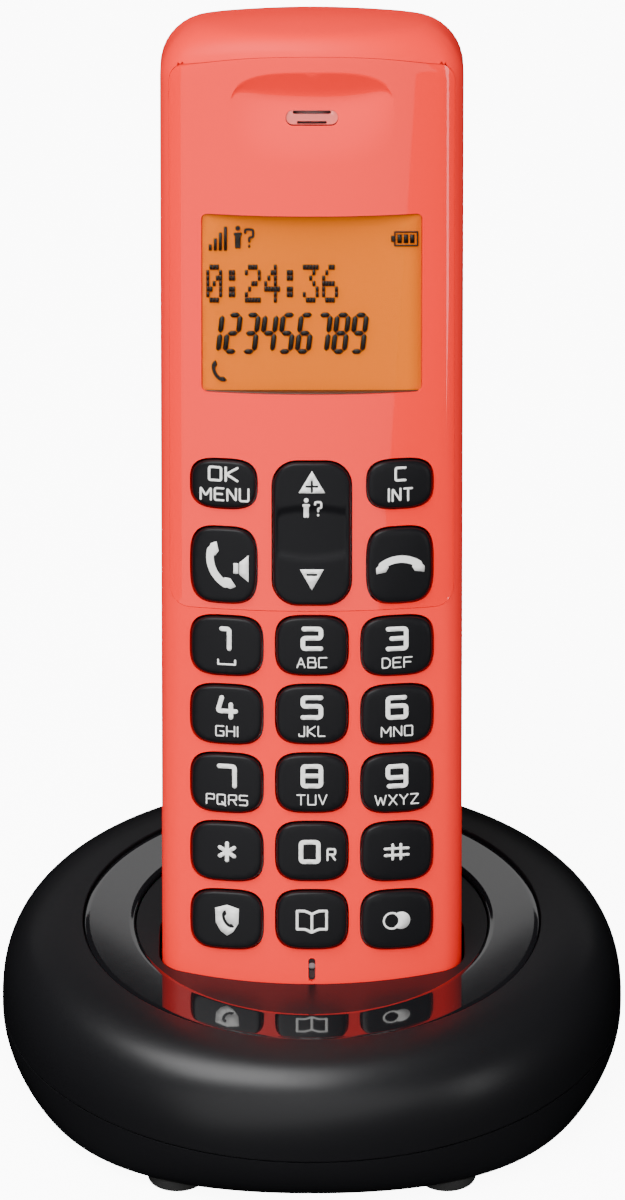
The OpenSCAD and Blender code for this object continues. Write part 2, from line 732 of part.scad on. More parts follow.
switch_w = 7;
switch_y0 = 37;
switch_y1 = 42;
button_y0 = 44.4;       // the page button's two ends
button_y1 = 49.6;

module page_switch() color("dimgray") {
  translate([-switch_w / 2, switch_y0, board_top + fit_gap]) cube([switch_w, switch_y1 - switch_y0, 10]);
  translate([0, switch_y1 - 1, button_z]) rotate([-90, 0, 0]) cylinder(h = 2.4, r = 1.7, $fn = 32);
}

module page_button() color("dimgray") translate([0, 0, button_z]) rotate([-90, 0, 0]) {
  translate([0, 0, button_y0]) cylinder(h = button_y1 - button_y0, r = button_r, $fn = 48);
  translate([0, 0, button_y0 + 1.2]) cylinder(h = 1, r = button_r + 0.9, $fn = 48);
}

front_shell();
front_panel();
display_window();
lcd_module();
lcd_holder();
keypad_mat();
key_nav();
handset_pcb();
handset_rf_shield();
earpiece_grille();
earpiece_receiver();
earpiece_seal();
microphone();
microphone_boot();
loudspeaker();
rear_shell();
battery_cover();
battery_cells();
battery_springs();
battery_plates();
handset_contacts();
handset_screws();
base_upper_shell();
base_lower_shell();
cradle_disc();
cradle_cup();
base_feet();
base_screws();
base_pcb();
base_rf_shield();
contact_block();
charge_pin_left();
charge_pin_right();
line_socket();
power_socket();
page_button();
page_switch();
for (k = KEYS) key_body(k);
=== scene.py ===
"""Looks for the cordless phone with its charging base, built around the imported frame."""
import json
import math

import bmesh
import bpy
import numpy as np
from mathutils import Matrix, Vector
from mathutils.geometry import delaunay_2d_cdt


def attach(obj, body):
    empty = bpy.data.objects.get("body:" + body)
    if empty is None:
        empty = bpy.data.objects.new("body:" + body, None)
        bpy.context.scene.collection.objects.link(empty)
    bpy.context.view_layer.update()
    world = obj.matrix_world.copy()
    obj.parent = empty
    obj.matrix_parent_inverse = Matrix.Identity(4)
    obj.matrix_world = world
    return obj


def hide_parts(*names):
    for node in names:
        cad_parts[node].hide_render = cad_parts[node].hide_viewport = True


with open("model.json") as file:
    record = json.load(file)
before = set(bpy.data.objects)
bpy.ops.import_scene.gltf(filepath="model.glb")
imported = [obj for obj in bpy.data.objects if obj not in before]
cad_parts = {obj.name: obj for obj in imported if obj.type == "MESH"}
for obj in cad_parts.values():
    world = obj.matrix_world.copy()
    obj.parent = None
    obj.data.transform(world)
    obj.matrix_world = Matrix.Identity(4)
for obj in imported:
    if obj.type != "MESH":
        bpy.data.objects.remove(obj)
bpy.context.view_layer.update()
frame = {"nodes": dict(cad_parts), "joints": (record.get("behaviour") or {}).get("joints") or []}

MM = 0.001

# ---- the frame's own places
JOINTS = {j["name"]: j for j in frame["joints"]}
UP = Vector(JOINTS["handset_lift"]["axis"])  # along the handset
INTO = Vector(JOINTS["battery_cover_pull"]["axis"])  # from the handset's face to its back
LEAN = math.atan2(UP.y, UP.z)
NAV_Z = 83.7  # rocker, up the handset
NAV_PIVOT_Y = -10.2
DOCK = Vector(JOINTS["nav_rock"]["pos_m"]) / MM - UP * NAV_Z - INTO * NAV_PIVOT_Y
TO_WORLD = Matrix.Scale(MM, 4) @ Matrix.Translation(DOCK) @ Matrix.Rotation(-LEAN, 4, "X")
BASE_TO_WORLD = Matrix.Scale(MM, 4)

# ---- handset sizes, mm, in its own frame
HS_W, HS_T, HS_L = 48.0, 26.5, 165.5
FRONT_R, BACK_R, EDGE_F, EDGE_B = 60.0, 48.0, 5.0, 8.0
SPLIT_Y = 1.5
SEAM = 0.12  # half of the parting line
CROWN_R = 150.0
PANEL_Z0, PANEL_Z1, PANEL_W = 71.0, 161.3, 45.0
LCD_Z, LCD_W, LCD_H = 120.5, 35.0, 28.8
EAR_Z, EAR_W, EAR_H = 150.7, 26.0, 14.4
SLOT_W, SLOT_H = 8.3, 2.4
MIC_Z = 12.0
KEY_GAP = 0.3
KEY_PROUD = 0.9
ROW_PITCH, COL_X = 11.25, 13.55
KEY_W, KEY_H = 11.2, 9.4
SIDE_KEY_X, SIDE_KEY_W = 13.95, 10.2
OK_Z, OK_H, TALK_Z, TALK_H = 91.4, 7.7, 78.2, 12.1
NAV_W, NAV_H, NAV_CORNER = 12.2, 23.1, 3.8
SIDE_DROP = 0.35
LOW_ROW_Z = 20.4


# ---- the handset's cross-section
class Section:
    """Half of the cross-section as arcs, walked by length s from the front middle to the back middle."""

    def __init__(self):
        front_c = (0.0, FRONT_R - HS_T / 2)
        back_c = (0.0, HS_T / 2 - BACK_R)
        fx, bx = HS_W / 2 - EDGE_F, HS_W / 2 - EDGE_B
        fy = front_c[1] - math.sqrt((FRONT_R - EDGE_F) ** 2 - fx ** 2)
        by = back_c[1] + math.sqrt((BACK_R - EDGE_B) ** 2 - bx ** 2)
        fa = math.acos(fx / (FRONT_R - EDGE_F))
        ba = math.acos(bx / (BACK_R - EDGE_B))
        half = math.pi / 2
        self.parts = [("arc", front_c, FRONT_R, -half, -fa), ("arc", (fx, fy), EDGE_F, -fa, 0.0),
                      ("line", (HS_W / 2, fy), (HS_W / 2, by)), ("arc", (bx, by), EDGE_B, 0.0, ba),
                      ("arc", back_c, BACK_R, ba, half)]
        self.ends = []
        total = 0.0
        for part in self.parts:
            total += part[2] * (part[4] - part[3]) if part[0] == "arc" else part[2][1] - part[1][1]
            self.ends.append(total)
        self.half = total
        steps = np.linspace(0.0, self.ends[2], 400)
        self.table_s = steps
        self.table_x = np.array([self.at(s)[0] for s in steps])
        self.split = self.ends[1] + SPLIT_Y - fy

    def at(self, s, depth=0.0):
        """x, y and the outward normal at length s, depth below the surface."""
        side = -1.0 if s < 0 else 1.0
        s = min(abs(s), self.half)
        start = 0.0
        for part, end in zip(self.parts, self.ends):
            if s <= end + 1e-9:
                break
            start = end
        if part[0] == "line":
            x, y, nx, ny = part[1][0] - depth, part[1][1] + s - start, 1.0, 0.0
        else:
            a = part[3] + (s - start) / part[2]
            nx, ny = math.cos(a), math.sin(a)
            x, y = part[1][0] + (part[2] - depth) * nx, part[1][1] + (part[2] - depth) * ny
        return side * x, y, side * nx, ny

    def s_of_x(self, x):
        """length along the front that lies at width x"""
        side = -1.0 if x < 0 else 1.0
        return side * float(np.interp(abs(x), self.table_x, self.table_s))


SECTION = Section()
SPLIT_S = SECTION.split


def front_y(x, depth=0.0):
    """height of the front surface at width x"""
    return SECTION.at(SECTION.s_of_x(x), depth)[1]


# ---- the whole outer surface of the handset
FOOT_ROLL = 3.0  # radius of the roll into the foot
TOP_FRONT, TOP_SIDE, TOP_BACK = 3.0, 7.0, 10.5  # radii of the roll into the top end
WALL_T0, WALL_T1 = FOOT_ROLL, 156.0  # the stretch of t that is plain wall
EASE = 6.0  # below WALL_T1, t eases into the top end's start
CAP_T = 14.0  # length of t given to each end
T_MIN, T_MAX = WALL_T0 - CAP_T, WALL_T1 + CAP_T
ROLL_SHARE = 0.55  # share of a cap's t that is its rolled edge
DOME_MID, DOME_REACH, DOME_DROP = 1.5, 14.75, 2.6


def smooth(t):
    t = min(max(t, 0.0), 1.0)
    return t * t * (3 - 2 * t)


def top_height(x, y):
    """the domed top end"""
    return HS_L - DOME_DROP * ((y - DOME_MID) / DOME_REACH) ** 2 - x * x / (2 * CROWN_R)


def roll_size(x, y):
    """radius of the roll into the top end, by where it is round the handset"""
    side = (abs(x) / (HS_W / 2)) ** 3
    toward_back = smooth((y + 6.0) / 14.0)
    return side * TOP_SIDE + (1 - side) * (TOP_FRONT + (TOP_BACK - TOP_FRONT) * toward_back)


def cap_shape(k):
    """angle of the roll and width left, at share k of a cap"""
    if k <= ROLL_SHARE:
        return k / ROLL_SHARE * math.pi / 2, 1.0
    return math.pi / 2, 1 - (k - ROLL_SHARE) / (1 - ROLL_SHARE)


def shrunk(x, y, inset, width):
    """a section point drawn in towards the middle of the parting plane"""
    reach_y = HS_T / 2 + (SPLIT_Y if y < SPLIT_Y else -SPLIT_Y)
    return (x * (1 - inset / (HS_W / 2)) * width,
            SPLIT_Y + (y - SPLIT_Y) * (1 - inset / reach_y) * width)


def skin(s, t, depth=0.0):
    """point of the handset's surface: s round it, t along it, depth below it"""
    x, y = SECTION.at(s, depth)[:2]
    if t < WALL_T0:
        a, width = cap_shape((WALL_T0 - t) / CAP_T)
        px, py = shrunk(x, y, FOOT_ROLL * (1 - math.cos(a)), width)
        return Vector((px, py, FOOT_ROLL * (1 - math.sin(a))))
    if t <= WALL_T1 - EASE:
        return Vector((x, y, t))
    r = roll_size(x, y)
    if t <= WALL_T1:
        start = top_height(x, y) - r
        return Vector((x, y, (WALL_T1 - EASE) + (t - WALL_T1 + EASE) / EASE * (start - WALL_T1 + EASE)))
    a, width = cap_shape((t - WALL_T1) / CAP_T)
    px, py = shrunk(x, y, r * (1 - math.cos(a)), width)
    return Vector((px, py, top_height(px, py) - r * (1 - math.sin(a))))


def t_of_z(x, z):
    """t along the front at width x that gives height z"""
    if z <= WALL_T1 - EASE:
        return z
    y = front_y(x)
    start = top_height(x, y) - roll_size(x, y)
    return WALL_T1 - EASE + (z - WALL_T1 + EASE) / (start - WALL_T1 + EASE) * EASE


# ---- outlines, seen from the front
def polar(cx, cy, r, a):
    return cx + r * math.cos(a), cy + r * math.sin(a)


def arc_points(cx, cy, r, a0, a1, n):
    return [polar(cx, cy, r, a0 + (a1 - a0) * i / n) for i in range(n + 1)]


def circle(cx, cy, r, n):
    return arc_points(cx, cy, r, 0, 2 * math.pi, n)[:-1]


def between(p, q, k):
    return p[0] + (q[0] - p[0]) * k, p[1] + (q[1] - p[1]) * k


def spread(points, gap):
    """the closed outline with points no further than gap apart"""
    out = []
    for p, q in zip(points, points[1:] + points[:1]):
        n = max(1, math.ceil(math.dist(p, q) / gap))
        out += [between(p, q, k / n) for k in range(n)]
    return out


def corners(cx, cz, w, h, r, n):
    """the four corner arcs of a rounded rectangle, anticlockwise"""
    turn, x, z = math.pi / 2, w / 2 - r, h / 2 - r
    return [arc_points(cx + sx * x, cz + sz * z, r, i * turn, (i + 1) * turn, n)
            for i, (sx, sz) in enumerate(((1, 1), (-1, 1), (-1, -1), (1, -1)))]


def rounded_rect(cx, cz, w, h, r, gap=0.6, n=8):
    return spread([p for arc in corners(cx, cz, w, h, r, n) for p in arc], gap)


def soft_rect(cx, cz, w, h, power=3.6, n=72):
    """anticlockwise superellipse: a key's outline"""
    pts = []
    for i in range(n):
        a = 2 * math.pi * i / n
        c, sn = math.cos(a), math.sin(a)
        pts.append((cx + w / 2 * math.copysign(abs(c) ** (2 / power), c),
                    cz + h / 2 * math.copysign(abs(sn) ** (2 / power), sn)))
    return pts


def inside(points, loop):
    """which points lie inside a closed loop"""
    pts = np.asarray(points, float)
    x, y = pts[:, 0], pts[:, 1]
    hit = np.zeros(len(pts), bool)
    lp = np.asarray(loop, float)
    for (x0, y0), (x1, y1) in zip(lp, np.roll(lp, -1, axis=0)):
        if y0 == y1:
            continue
        crosses = (y0 > y) != (y1 > y)
        hit ^= crosses & (x < (x1 - x0) * (y - y0) / (y1 - y0) + x0)
    return hit


GRID_MARGIN = 0.35  # grid points stay this far from an outline


def clear_of(points, loop, margin):
    """which points are further than margin from a loop"""
    pts, lp = np.asarray(points, float), np.asarray(loop, float)
    far = np.full(len(pts), True)
    for start in range(0, len(pts), 2000):
        chunk = pts[start:start + 2000]
        d2 = ((chunk[:, None, :] - lp[None, :, :]) ** 2).sum(2).min(1)
        far[start:start + 2000] = d2 > margin * margin
    return far


def triangles(loops, points=(), near=1e-7):
    """triangles between closed loops and loose points, and the middle of each"""
    verts, edges = [], []
    for loop in loops:
        first = len(verts)
        verts += [Vector(p) for p in loop]
        edges += [(first + i, first + (i + 1) % len(loop)) for i in range(len(loop))]
    verts += [Vector(p) for p in points]
    out_v, _, out_f = delaunay_2d_cdt(verts, edges, [], 0, near, False)[:3]
    tri = np.array([f for f in out_f if len(f) == 3])
    co = np.array([(v[0], v[1]) for v in out_v])
    return co, tri, co[tri].mean(1)


def filled(outline, holes, grid):
    """triangles that fill an outline round its holes, with the grid's points inside"""
    pts = np.asarray(grid, float)
    keep = inside(pts, outline) & clear_of(pts, outline, GRID_MARGIN)
    for hole in holes:
        keep &= ~inside(pts, hole) & clear_of(pts, hole, GRID_MARGIN)
    co, tri, mid = triangles([outline] + list(holes), pts[keep])
    good = inside(mid, outline)
    for hole in holes:
        good &= ~inside(mid, hole)
    return co, tri[good]


def grid_over(x0, x1, z0, z1, gap, z_gap=None):
    return [(x, z) for x in np.arange(x0, x1, gap) for z in np.arange(z0, z1, z_gap or gap)]


# ---- making Blender objects
def link(name, mesh, to_world=TO_WORLD):
    mesh.transform(to_world)
    obj = bpy.data.objects.new(name, mesh)
    bpy.context.scene.collection.objects.link(obj)
    return obj


def mesh_from(name, verts, faces, flat=False):
    mesh = bpy.data.meshes.new(name)
    mesh.from_pydata([tuple(v) for v in verts], [], [tuple(int(i) for i in f) for f in faces])
    mesh.validate()
    mesh.update()
    mesh.polygons.foreach_set("use_smooth", [not flat] * len(mesh.polygons))
    return mesh


def thickened(obj, thickness, bevel=0.0, segments=2, offset=-1):
    """gives a sheet a wall behind it and rolls its sharp edges"""
    wall = obj.modifiers.new("wall", "SOLIDIFY")
    wall.thickness, wall.offset = thickness * MM, offset
    if bevel:
        rolled(obj, bevel, segments)


def rolled(obj, width, segments=2, angle=40):
    bevel = obj.modifiers.new("edge", "BEVEL")
    bevel.width = width * MM
    bevel.segments = segments
    bevel.limit_method = "ANGLE"
    bevel.angle_limit = math.radians(angle)
    bevel.harden_normals = True


# ---- handset shells
PANEL_RISE = 0.06  # the glossy panel stands this much proud
PANEL_WALL = 0.9
PANEL_CREASE = 0.1  # groove round the panel
SEAT_LEDGE = 1.3  # how far the shell reaches under the panel
SHELL_WALL = 1.4
FOOT_LIFT = 0.08  # the charging pads stand this proud of the foot
SEAT_PLAY = 0.1  # room between the panel and its seat


def panel_outline(grow=0.0, gap=0.8):
    """the glossy panel seen from the front: arched at the top"""
    crown, r = 80.0, 3.0
    half = PANEL_W / 2 + grow
    low, high = PANEL_Z0 - grow, PANEL_Z1 + grow
    centre_z = high - crown
    r += grow
    corner_z = centre_z + math.sqrt((crown - r) ** 2 - (half - r) ** 2)
    tip = math.acos((half - r) / (crown - r))
    pts = arc_points(half - r, corner_z, r, 0, tip, 6)
    pts += arc_points(0, centre_z, crown, tip, math.pi - tip, 40)[1:]
    pts += arc_points(-half + r, corner_z, r, math.pi - tip, math.pi, 6)[1:]
    pts += arc_points(-half + r, low + r, r, math.pi, 1.5 * math.pi, 6)
    pts += arc_points(half - r, low + r, r, 1.5 * math.pi, 2 * math.pi, 6)
    return spread(pts, gap)


def on_skin(loop):
    """an outline seen from the front, laid on the skin as (s, t)"""
    return [(SECTION.s_of_x(x), t_of_z(x, z)) for x, z in loop]


def key_list():
    """(node, x, z, width, height) of every key"""
    keys = [(name, side * SIDE_KEY_X, z, SIDE_KEY_W, h)
            for name, side, z, h in (("key_ok", -1, OK_Z, OK_H), ("key_clear", 1, OK_Z, OK_H),
                                     ("key_talk", -1, TALK_Z, TALK_H), ("key_end", 1, TALK_Z, TALK_H))]
    for i, name in enumerate("1 2 3 4 5 6 7 8 9 star 0 hash lock book redial".split()):
        col, row = i % 3 - 1, 4 - i // 3
        z = LOW_ROW_Z + row * ROW_PITCH - abs(col) * SIDE_DROP
        keys.append(("key_" + name, col * COL_X, z, KEY_W, KEY_H))
    keys.append(("key_nav", 0.0, NAV_Z, NAV_W, NAV_H))
    return keys


KEYS = {k[0]: k for k in key_list()}
UPPER_KEYS = ("key_ok", "key_clear", "key_talk", "key_end", "key_nav")


def key_outline(name, grow=0.0):
    _, x, z, w, h = KEYS[name]
    if name == "key_nav":
        return rounded_rect(x, z, w + 2 * grow, h + 2 * grow, NAV_CORNER + grow, 0.6)
    power = 3.1 if name in ("key_ok", "key_clear") else 3.5
    return soft_rect(x, z, w + 2 * grow, h + 2 * grow, power)


def skin_grid(s0, s1):
    """grid points between two lengths round the section, closer together where it turns tightly"""
    ends = [0.0] + SECTION.ends
    side = {float(s) for a, b, n in zip(ends, ends[1:], (15, 9, 5, 12, 15)) for s in np.linspace(a, b, n)}
    cols = [s for s in sorted(side | {-s for s in side}) if s0 < s < s1]
    rows = list(np.arange(WALL_T0, WALL_T1 - EASE, 1.5)) + list(np.linspace(WALL_T1 - EASE, WALL_T1, 6))
    cap = [CAP_T * ROLL_SHARE * i / 9 for i in range(1, 10)]
    cap += [CAP_T * (ROLL_SHARE + (1 - ROLL_SHARE) * i / 8) for i in range(1, 8)]
    rows += [WALL_T0 - c for c in cap] + [WALL_T1 + c for c in cap]
    return [(s, t) for s in cols for t in rows]


def sheet_outline(s0, s1):
    """the whole length of the handset between two lengths round it"""
    top, foot = T_MAX - 0.15, T_MIN + 0.15
    return spread([(s1, foot), (s1, top), (s0, top), (s0, foot)], 1.2)


def reshaped(mesh, change):
    """runs a change on the mesh's faces, then shades them smooth"""
    bm = bmesh.new()
    bm.from_mesh(mesh)
    change(bm)
    bm.to_mesh(mesh)
    bm.free()
    mesh.polygons.foreach_set("use_smooth", [True] * len(mesh.polygons))
    return mesh


def welded(mesh, distance):
    """joins points that fell together, and drops the faces that vanished"""
    def weld(bm):
        bmesh.ops.remove_doubles(bm, verts=bm.verts, dist=distance)
        bmesh.ops.dissolve_degenerate(bm, dist=distance * 0.5, edges=bm.edges)
        bmesh.ops.recalc_face_normals(bm, faces=bm.faces)
    return reshaped(mesh, weld)


def merged(mesh, parts):
    """takes other meshes into this one"""
    def take(bm):
        for part in parts:
            bm.from_mesh(part)
            bpy.data.meshes.remove(part)
    return reshaped(mesh, take)


def facing_out(mesh, middle):
    """turns the faces so that they look away from a point"""
    def turn(bm):
        bmesh.ops.recalc_face_normals(bm, faces=bm.faces)
        score = sum(f.normal.dot(f.calc_center_median() - middle) * f.calc_area() for f in bm.faces)
        if score < 0:
            bmesh.ops.reverse_faces(bm, faces=bm.faces)
    return reshaped(mesh, turn)


def laid(name, outline, holes, grid, place, flat=False):
    """a sheet filled in the plane, each of its points then put in its place"""
    co, tri = filled(outline, holes, grid)
    return mesh_from(name, [place(*p) for p in co], tri, flat)


def grounded(p):
    """keeps a point of the shell above the charging pads"""
    p.z = max(p.z, FOOT_LIFT)
    return p


HS_MIDDLE = Vector((0, SPLIT_Y, HS_L / 2))


def front_shell():
    edge = SPLIT_S - SEAM
    groove_out = on_skin(panel_outline(PANEL_CREASE))
    groove_in = on_skin(panel_outline(PANEL_CREASE - 0.05))
    ledge = on_skin(panel_outline(-SEAT_LEDGE))
    holes = [ledge, on_skin(rounded_rect(0, MIC_Z, 1.1, 3.9, 0.5, 0.3))]
    holes += [on_skin(key_outline(n, KEY_GAP)) for n in KEYS if n not in UPPER_KEYS]
    grid = np.array(skin_grid(-edge, edge))
    for loop in (groove_out, groove_in):
        grid = grid[clear_of(grid, loop, GRID_MARGIN)]
    grid = [tuple(p) for p in grid] + groove_out + groove_in
    middle = on_skin(panel_outline(PANEL_CREASE - 0.025))
    co, tri = filled(sheet_outline(-edge, edge), holes, grid)
    depths = np.where(inside(co, middle), PANEL_WALL + SEAT_PLAY, 0.0)
    mesh = mesh_from("front_shell_skin", [grounded(skin(s, t, d)) for (s, t), d in zip(co, depths)], tri)
    obj = link("front_shell_skin", facing_out(welded(mesh, 0.004), HS_MIDDLE))
    thickened(obj, SHELL_WALL, 0.12)
    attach(obj, "handset")
    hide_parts("front_shell")
    return obj


# ---- glossy panel with its scoop
SCOOP_DEPTH = 2.1
SCOOP_WALL_SLOPE = 0.45
SCOOP_POWER = 3.2


def scoop_top(x):
    """upper edge of the scoop at width x"""
    q = min(abs(x) / (EAR_W / 2), 1.0)
    return EAR_Z + EAR_H / 2 * (1 - q ** SCOOP_POWER) ** (1 / SCOOP_POWER)


def scoop_depth(x, z):
    """how far the scoop dips below the panel"""
    low, high = 2 * EAR_Z - scoop_top(x), scoop_top(x)
    if not low < z < high or abs(x) >= EAR_W / 2:
        return 0.0
    rise = smooth((z - low) / (EAR_H * 0.95))
    floor = SCOOP_DEPTH * (1 - abs(x / (EAR_W / 2)) ** 3) * (0.35 * (z - low) / EAR_H + 0.9 * rise)
    wall = SCOOP_WALL_SLOPE * (high - z) * 1.15
    sharp = 6.0  # how tightly the floor turns up into the wall
    if floor <= 0 or wall <= 0:
        return 0.0
    return (floor ** -sharp + wall ** -sharp) ** (-1 / sharp)


def front_panel():
    """made in (x, z), then laid on the handset's face"""
    holes = [rounded_rect(0, LCD_Z, LCD_W, LCD_H, 1.0, 0.6, 5),
             rounded_rect(0, EAR_Z - 0.2, SLOT_W, SLOT_H, SLOT_H / 2 - 0.05, 0.4, 8)]
    holes += [key_outline(n, KEY_GAP) for n in UPPER_KEYS]
    half = PANEL_W / 2
    coarse = np.array(grid_over(-half + 0.4, half, PANEL_Z0 + 0.5, PANEL_Z1, 1.1))
    coarse = coarse[~inside(coarse, soft_rect(0, EAR_Z, EAR_W + 1.6, EAR_H + 1.6, SCOOP_POWER))]
    x1, z1 = EAR_W / 2, EAR_H / 2
    fine = np.array(grid_over(-x1 + 0.15, x1, EAR_Z - z1 + 0.1, EAR_Z + z1, 0.36))
    fine = fine[inside(fine, soft_rect(0, EAR_Z, EAR_W - 1.7, EAR_H - 1.7, SCOOP_POWER))]
    rings = [soft_rect(0, EAR_Z, EAR_W + d, EAR_H + d, SCOOP_POWER, 150)
             for d in (0.6, 0, -0.4, -0.9, -1.4)]
    grid = np.vstack([coarse, fine] + rings)

    def place(x, z):
        s = SECTION.s_of_x(x)
        p = skin(s, t_of_z(x, z))
        nx, ny = SECTION.at(s)[2:]
        return Vector((p.x + nx * PANEL_RISE, p.y + ny * PANEL_RISE + scoop_depth(x, z), p.z))
    mesh = laid("front_panel_gloss", panel_outline(), holes, grid, place)
    obj = link("front_panel_gloss", facing_out(mesh, HS_MIDDLE))
    thickened(obj, PANEL_WALL, 0.18, 3)
    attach(obj, "handset")
    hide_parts("front_panel")
    return obj


# ---- back of the handset
COVER_W, COVER_Z0, COVER_Z1, COVER_T = 34.0, 34.0, 94.0, 1.6
COVER_GAP = 0.3
SPEAKER_Z, GRILLE_PITCH = 128.0, 2.4
SCREWS = [(-17, 10.6), (17, 10.6), (-17, 99.6), (17, 99.6)]
BAY_W, BAY_Z0, BAY_Z1, BAY_FLOOR_Y = 23.8, 36.9, 91.1, 0.1
RIM_DEPTH = 1.95
PIECE_HALF = SECTION.half
BACK_S = np.linspace(0.0, PIECE_HALF - SECTION.ends[2] - 0.01, 200)
BACK_X = np.array([SECTION.at(PIECE_HALF - s)[0] for s in BACK_S])


def round_back(u):
    """length round the section, from u measured off the middle of the back"""
    return math.copysign(PIECE_HALF - abs(u), u if u else 1.0)


def on_back(loop):
    """an outline seen through the handset from the front, laid on its back as (u, t)"""
    return [(math.copysign(float(np.interp(abs(x), BACK_X, BACK_S)), x), z) for x, z in loop]


def back_sheet(name, outline, holes, grid, depth=0.0):
    mesh = laid(name, outline, holes, grid, lambda u, t: grounded(skin(round_back(u), t, depth)))
    return facing_out(welded(mesh, 0.004), HS_MIDDLE)


def back_outline(grow):
    mid, high = (COVER_Z0 + COVER_Z1) / 2, COVER_Z1 - COVER_Z0
    return on_back(rounded_rect(0, mid, COVER_W + 2 * grow, high + 2 * grow, 4 + grow, 1.2))


def rear_shell():
    edge = PIECE_HALF - SPLIT_S - SEAM
    holes = [back_outline(COVER_GAP)]
    holes += [on_back(rounded_rect(x, z, 4.6, 4.6, 2.299, 0.6)) for x, z in SCREWS]
    holes += [on_back(rounded_rect(0, SPEAKER_Z + i * GRILLE_PITCH, 14 - abs(i) * 1.6, 1.1, 0.5, 0.5))
              for i in range(-3, 4)]
    grid = []
    for s, t in skin_grid(-PIECE_HALF, PIECE_HALF):
        u = math.copysign(PIECE_HALF - abs(s), s)
        if abs(u) < edge:
            grid.append((u, t))
    grid += [(0.0, t) for t in sorted({t for _, t in grid})]
    obj = link("rear_shell_skin", back_sheet("rear_shell_skin", sheet_outline(-edge, edge), holes, grid))
    thickened(obj, SHELL_WALL, 0.12)
    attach(obj, "handset")
    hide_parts("rear_shell")
    return obj


def cover_ribs(z):
    """grip ridges at the cover's upper end"""
    near = smooth((z - 74) / 2) * smooth((88 - z) / 2)
    return near * 0.22 * (0.5 + 0.5 * math.cos((z - 81) * 2 * math.pi / 2.6))


def battery_cover():
    half = COVER_W / 2 + 2
    grid = grid_over(-half, half, COVER_Z0, 72, 1.4, 1.5) + grid_over(-half, half, 72, COVER_Z1, 1.4, 0.4)

    def place(u, t):
        return skin(round_back(u), t, cover_ribs(t) * smooth((12 - abs(u)) / 3))
    mesh = laid("battery_cover_skin", back_outline(0.0), [], grid, place)
    obj = link("battery_cover_skin", facing_out(mesh, HS_MIDDLE))
    thickened(obj, COVER_T - 0.2, 0.15)
    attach(obj, "battery_cover")
    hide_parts("battery_cover")
    return obj


def bands(n, rings):
    """quads between rings of n points"""
    return [(k * n + i, k * n + (i + 1) % n, (k + 1) * n + (i + 1) % n, (k + 1) * n + i)
            for k in range(rings - 1) for i in range(n)]


def ring_loft(name, rings, close_last=True, close_first=False):
    """skin over closed rings of equally many points"""
    n = len(rings[0])
    verts = [Vector(p) for ring in rings for p in ring]
    faces = bands(n, len(rings))
    for close, k in ((close_last, len(rings) - 1), (close_first, 0)):
        if close:
            middle = sum((Vector(p) for p in rings[k]), Vector()) / n
            verts.append(middle)
            faces += [(k * n + i, k * n + (i + 1) % n, len(verts) - 1) for i in range(n)]
    return mesh_from(name, verts, faces)


def battery_bay():
    """the rim that the cover rests on, and the tub behind it"""
    mid, high = (BAY_Z0 + BAY_Z1) / 2, BAY_Z1 - BAY_Z0
    hole = on_back(rounded_rect(0, mid, BAY_W, high, 1.5, 1.2))
    rim = on_back(rounded_rect(0, (COVER_Z0 + COVER_Z1) / 2, 38.6, COVER_Z1 - COVER_Z0 + 5, 5, 1.2))
    rim_mesh = back_sheet("battery_bay_rim", rim, [hole], grid_over(-22, 22, 30, 98, 1.5, 2), RIM_DEPTH)
    rim_obj = link("battery_bay_rim", rim_mesh)
    thickened(rim_obj, 1.0, 0.1)


    def wall_y(x):
        s = PIECE_HALF - float(np.interp(abs(x), BACK_X, BACK_S))
        return SECTION.at(s, RIM_DEPTH + 0.4)[1]
    rings = []
    for inset, y in ((0.0, None), (0.0, 3.0), (0.0, BAY_FLOOR_Y + 1.2), (0.35, BAY_FLOOR_Y + 0.35),
                     (1.2, BAY_FLOOR_Y)):
        loop = rounded_rect(0, mid, BAY_W - 2 * inset, high - 2 * inset, 1.5, 99, 6)
        rings.append([Vector((x, wall_y(x) if y is None else y, z)) for x, z in loop])
    tub = link("battery_bay_tub", ring_loft("battery_bay_tub", rings))
    thickened(tub, 1.0, offset=1)
    for obj in (rim_obj, tub):
        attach(obj, "handset")
    return [rim_obj, tub]


# ---- keys
KEY_ROLL = 0.55
KEY_SKIRT = 1.5
PILLOW = 0.16
DISH = 0.42


def fixed_rect(cx, cz, w, h, r, n_arc=8, n_side=6):
    """rounded rectangle with the same number of points whatever its size"""
    arcs = corners(cx, cz, w, h, r, n_arc)
    pts = []
    for arc, after in zip(arcs, arcs[1:] + arcs[:1]):
        pts += arc + [between(arc[-1], after[0], k / n_side) for k in range(1, n_side)]
    return pts


def key_loop(name, inset):
    _, x, z, w, h = KEYS[name]
    if name == "key_nav":
        return fixed_rect(x, z, w - 2 * inset, h - 2 * inset, max(NAV_CORNER - inset, 0.4))
    return key_outline(name, -inset)


def key_top(name, x, z):
    """height of a key's top above the handset's face"""
    _, cx, cz, w, h = KEYS[name]
    u, v = (x - cx) / (w / 2), (z - cz) / (h / 2)
    pillow = PILLOW * max(1 - u * u, 0) * max(1 - v * v, 0)
    if name != "key_nav":
        return KEY_PROUD + pillow
    bow = 0.9 * u * u
    dz = z - cz
    dish = smooth((4.9 - dz - bow) / 1.3) * smooth((dz + 4.6 - bow) / 1.3)
    return KEY_PROUD + 0.35 * pillow - DISH * dish * smooth((1 - abs(u)) / 0.12)


def on_key(name, x, z, lift=0.0):
    return Vector((x, front_y(x) - key_top(name, x, z) - lift, z))


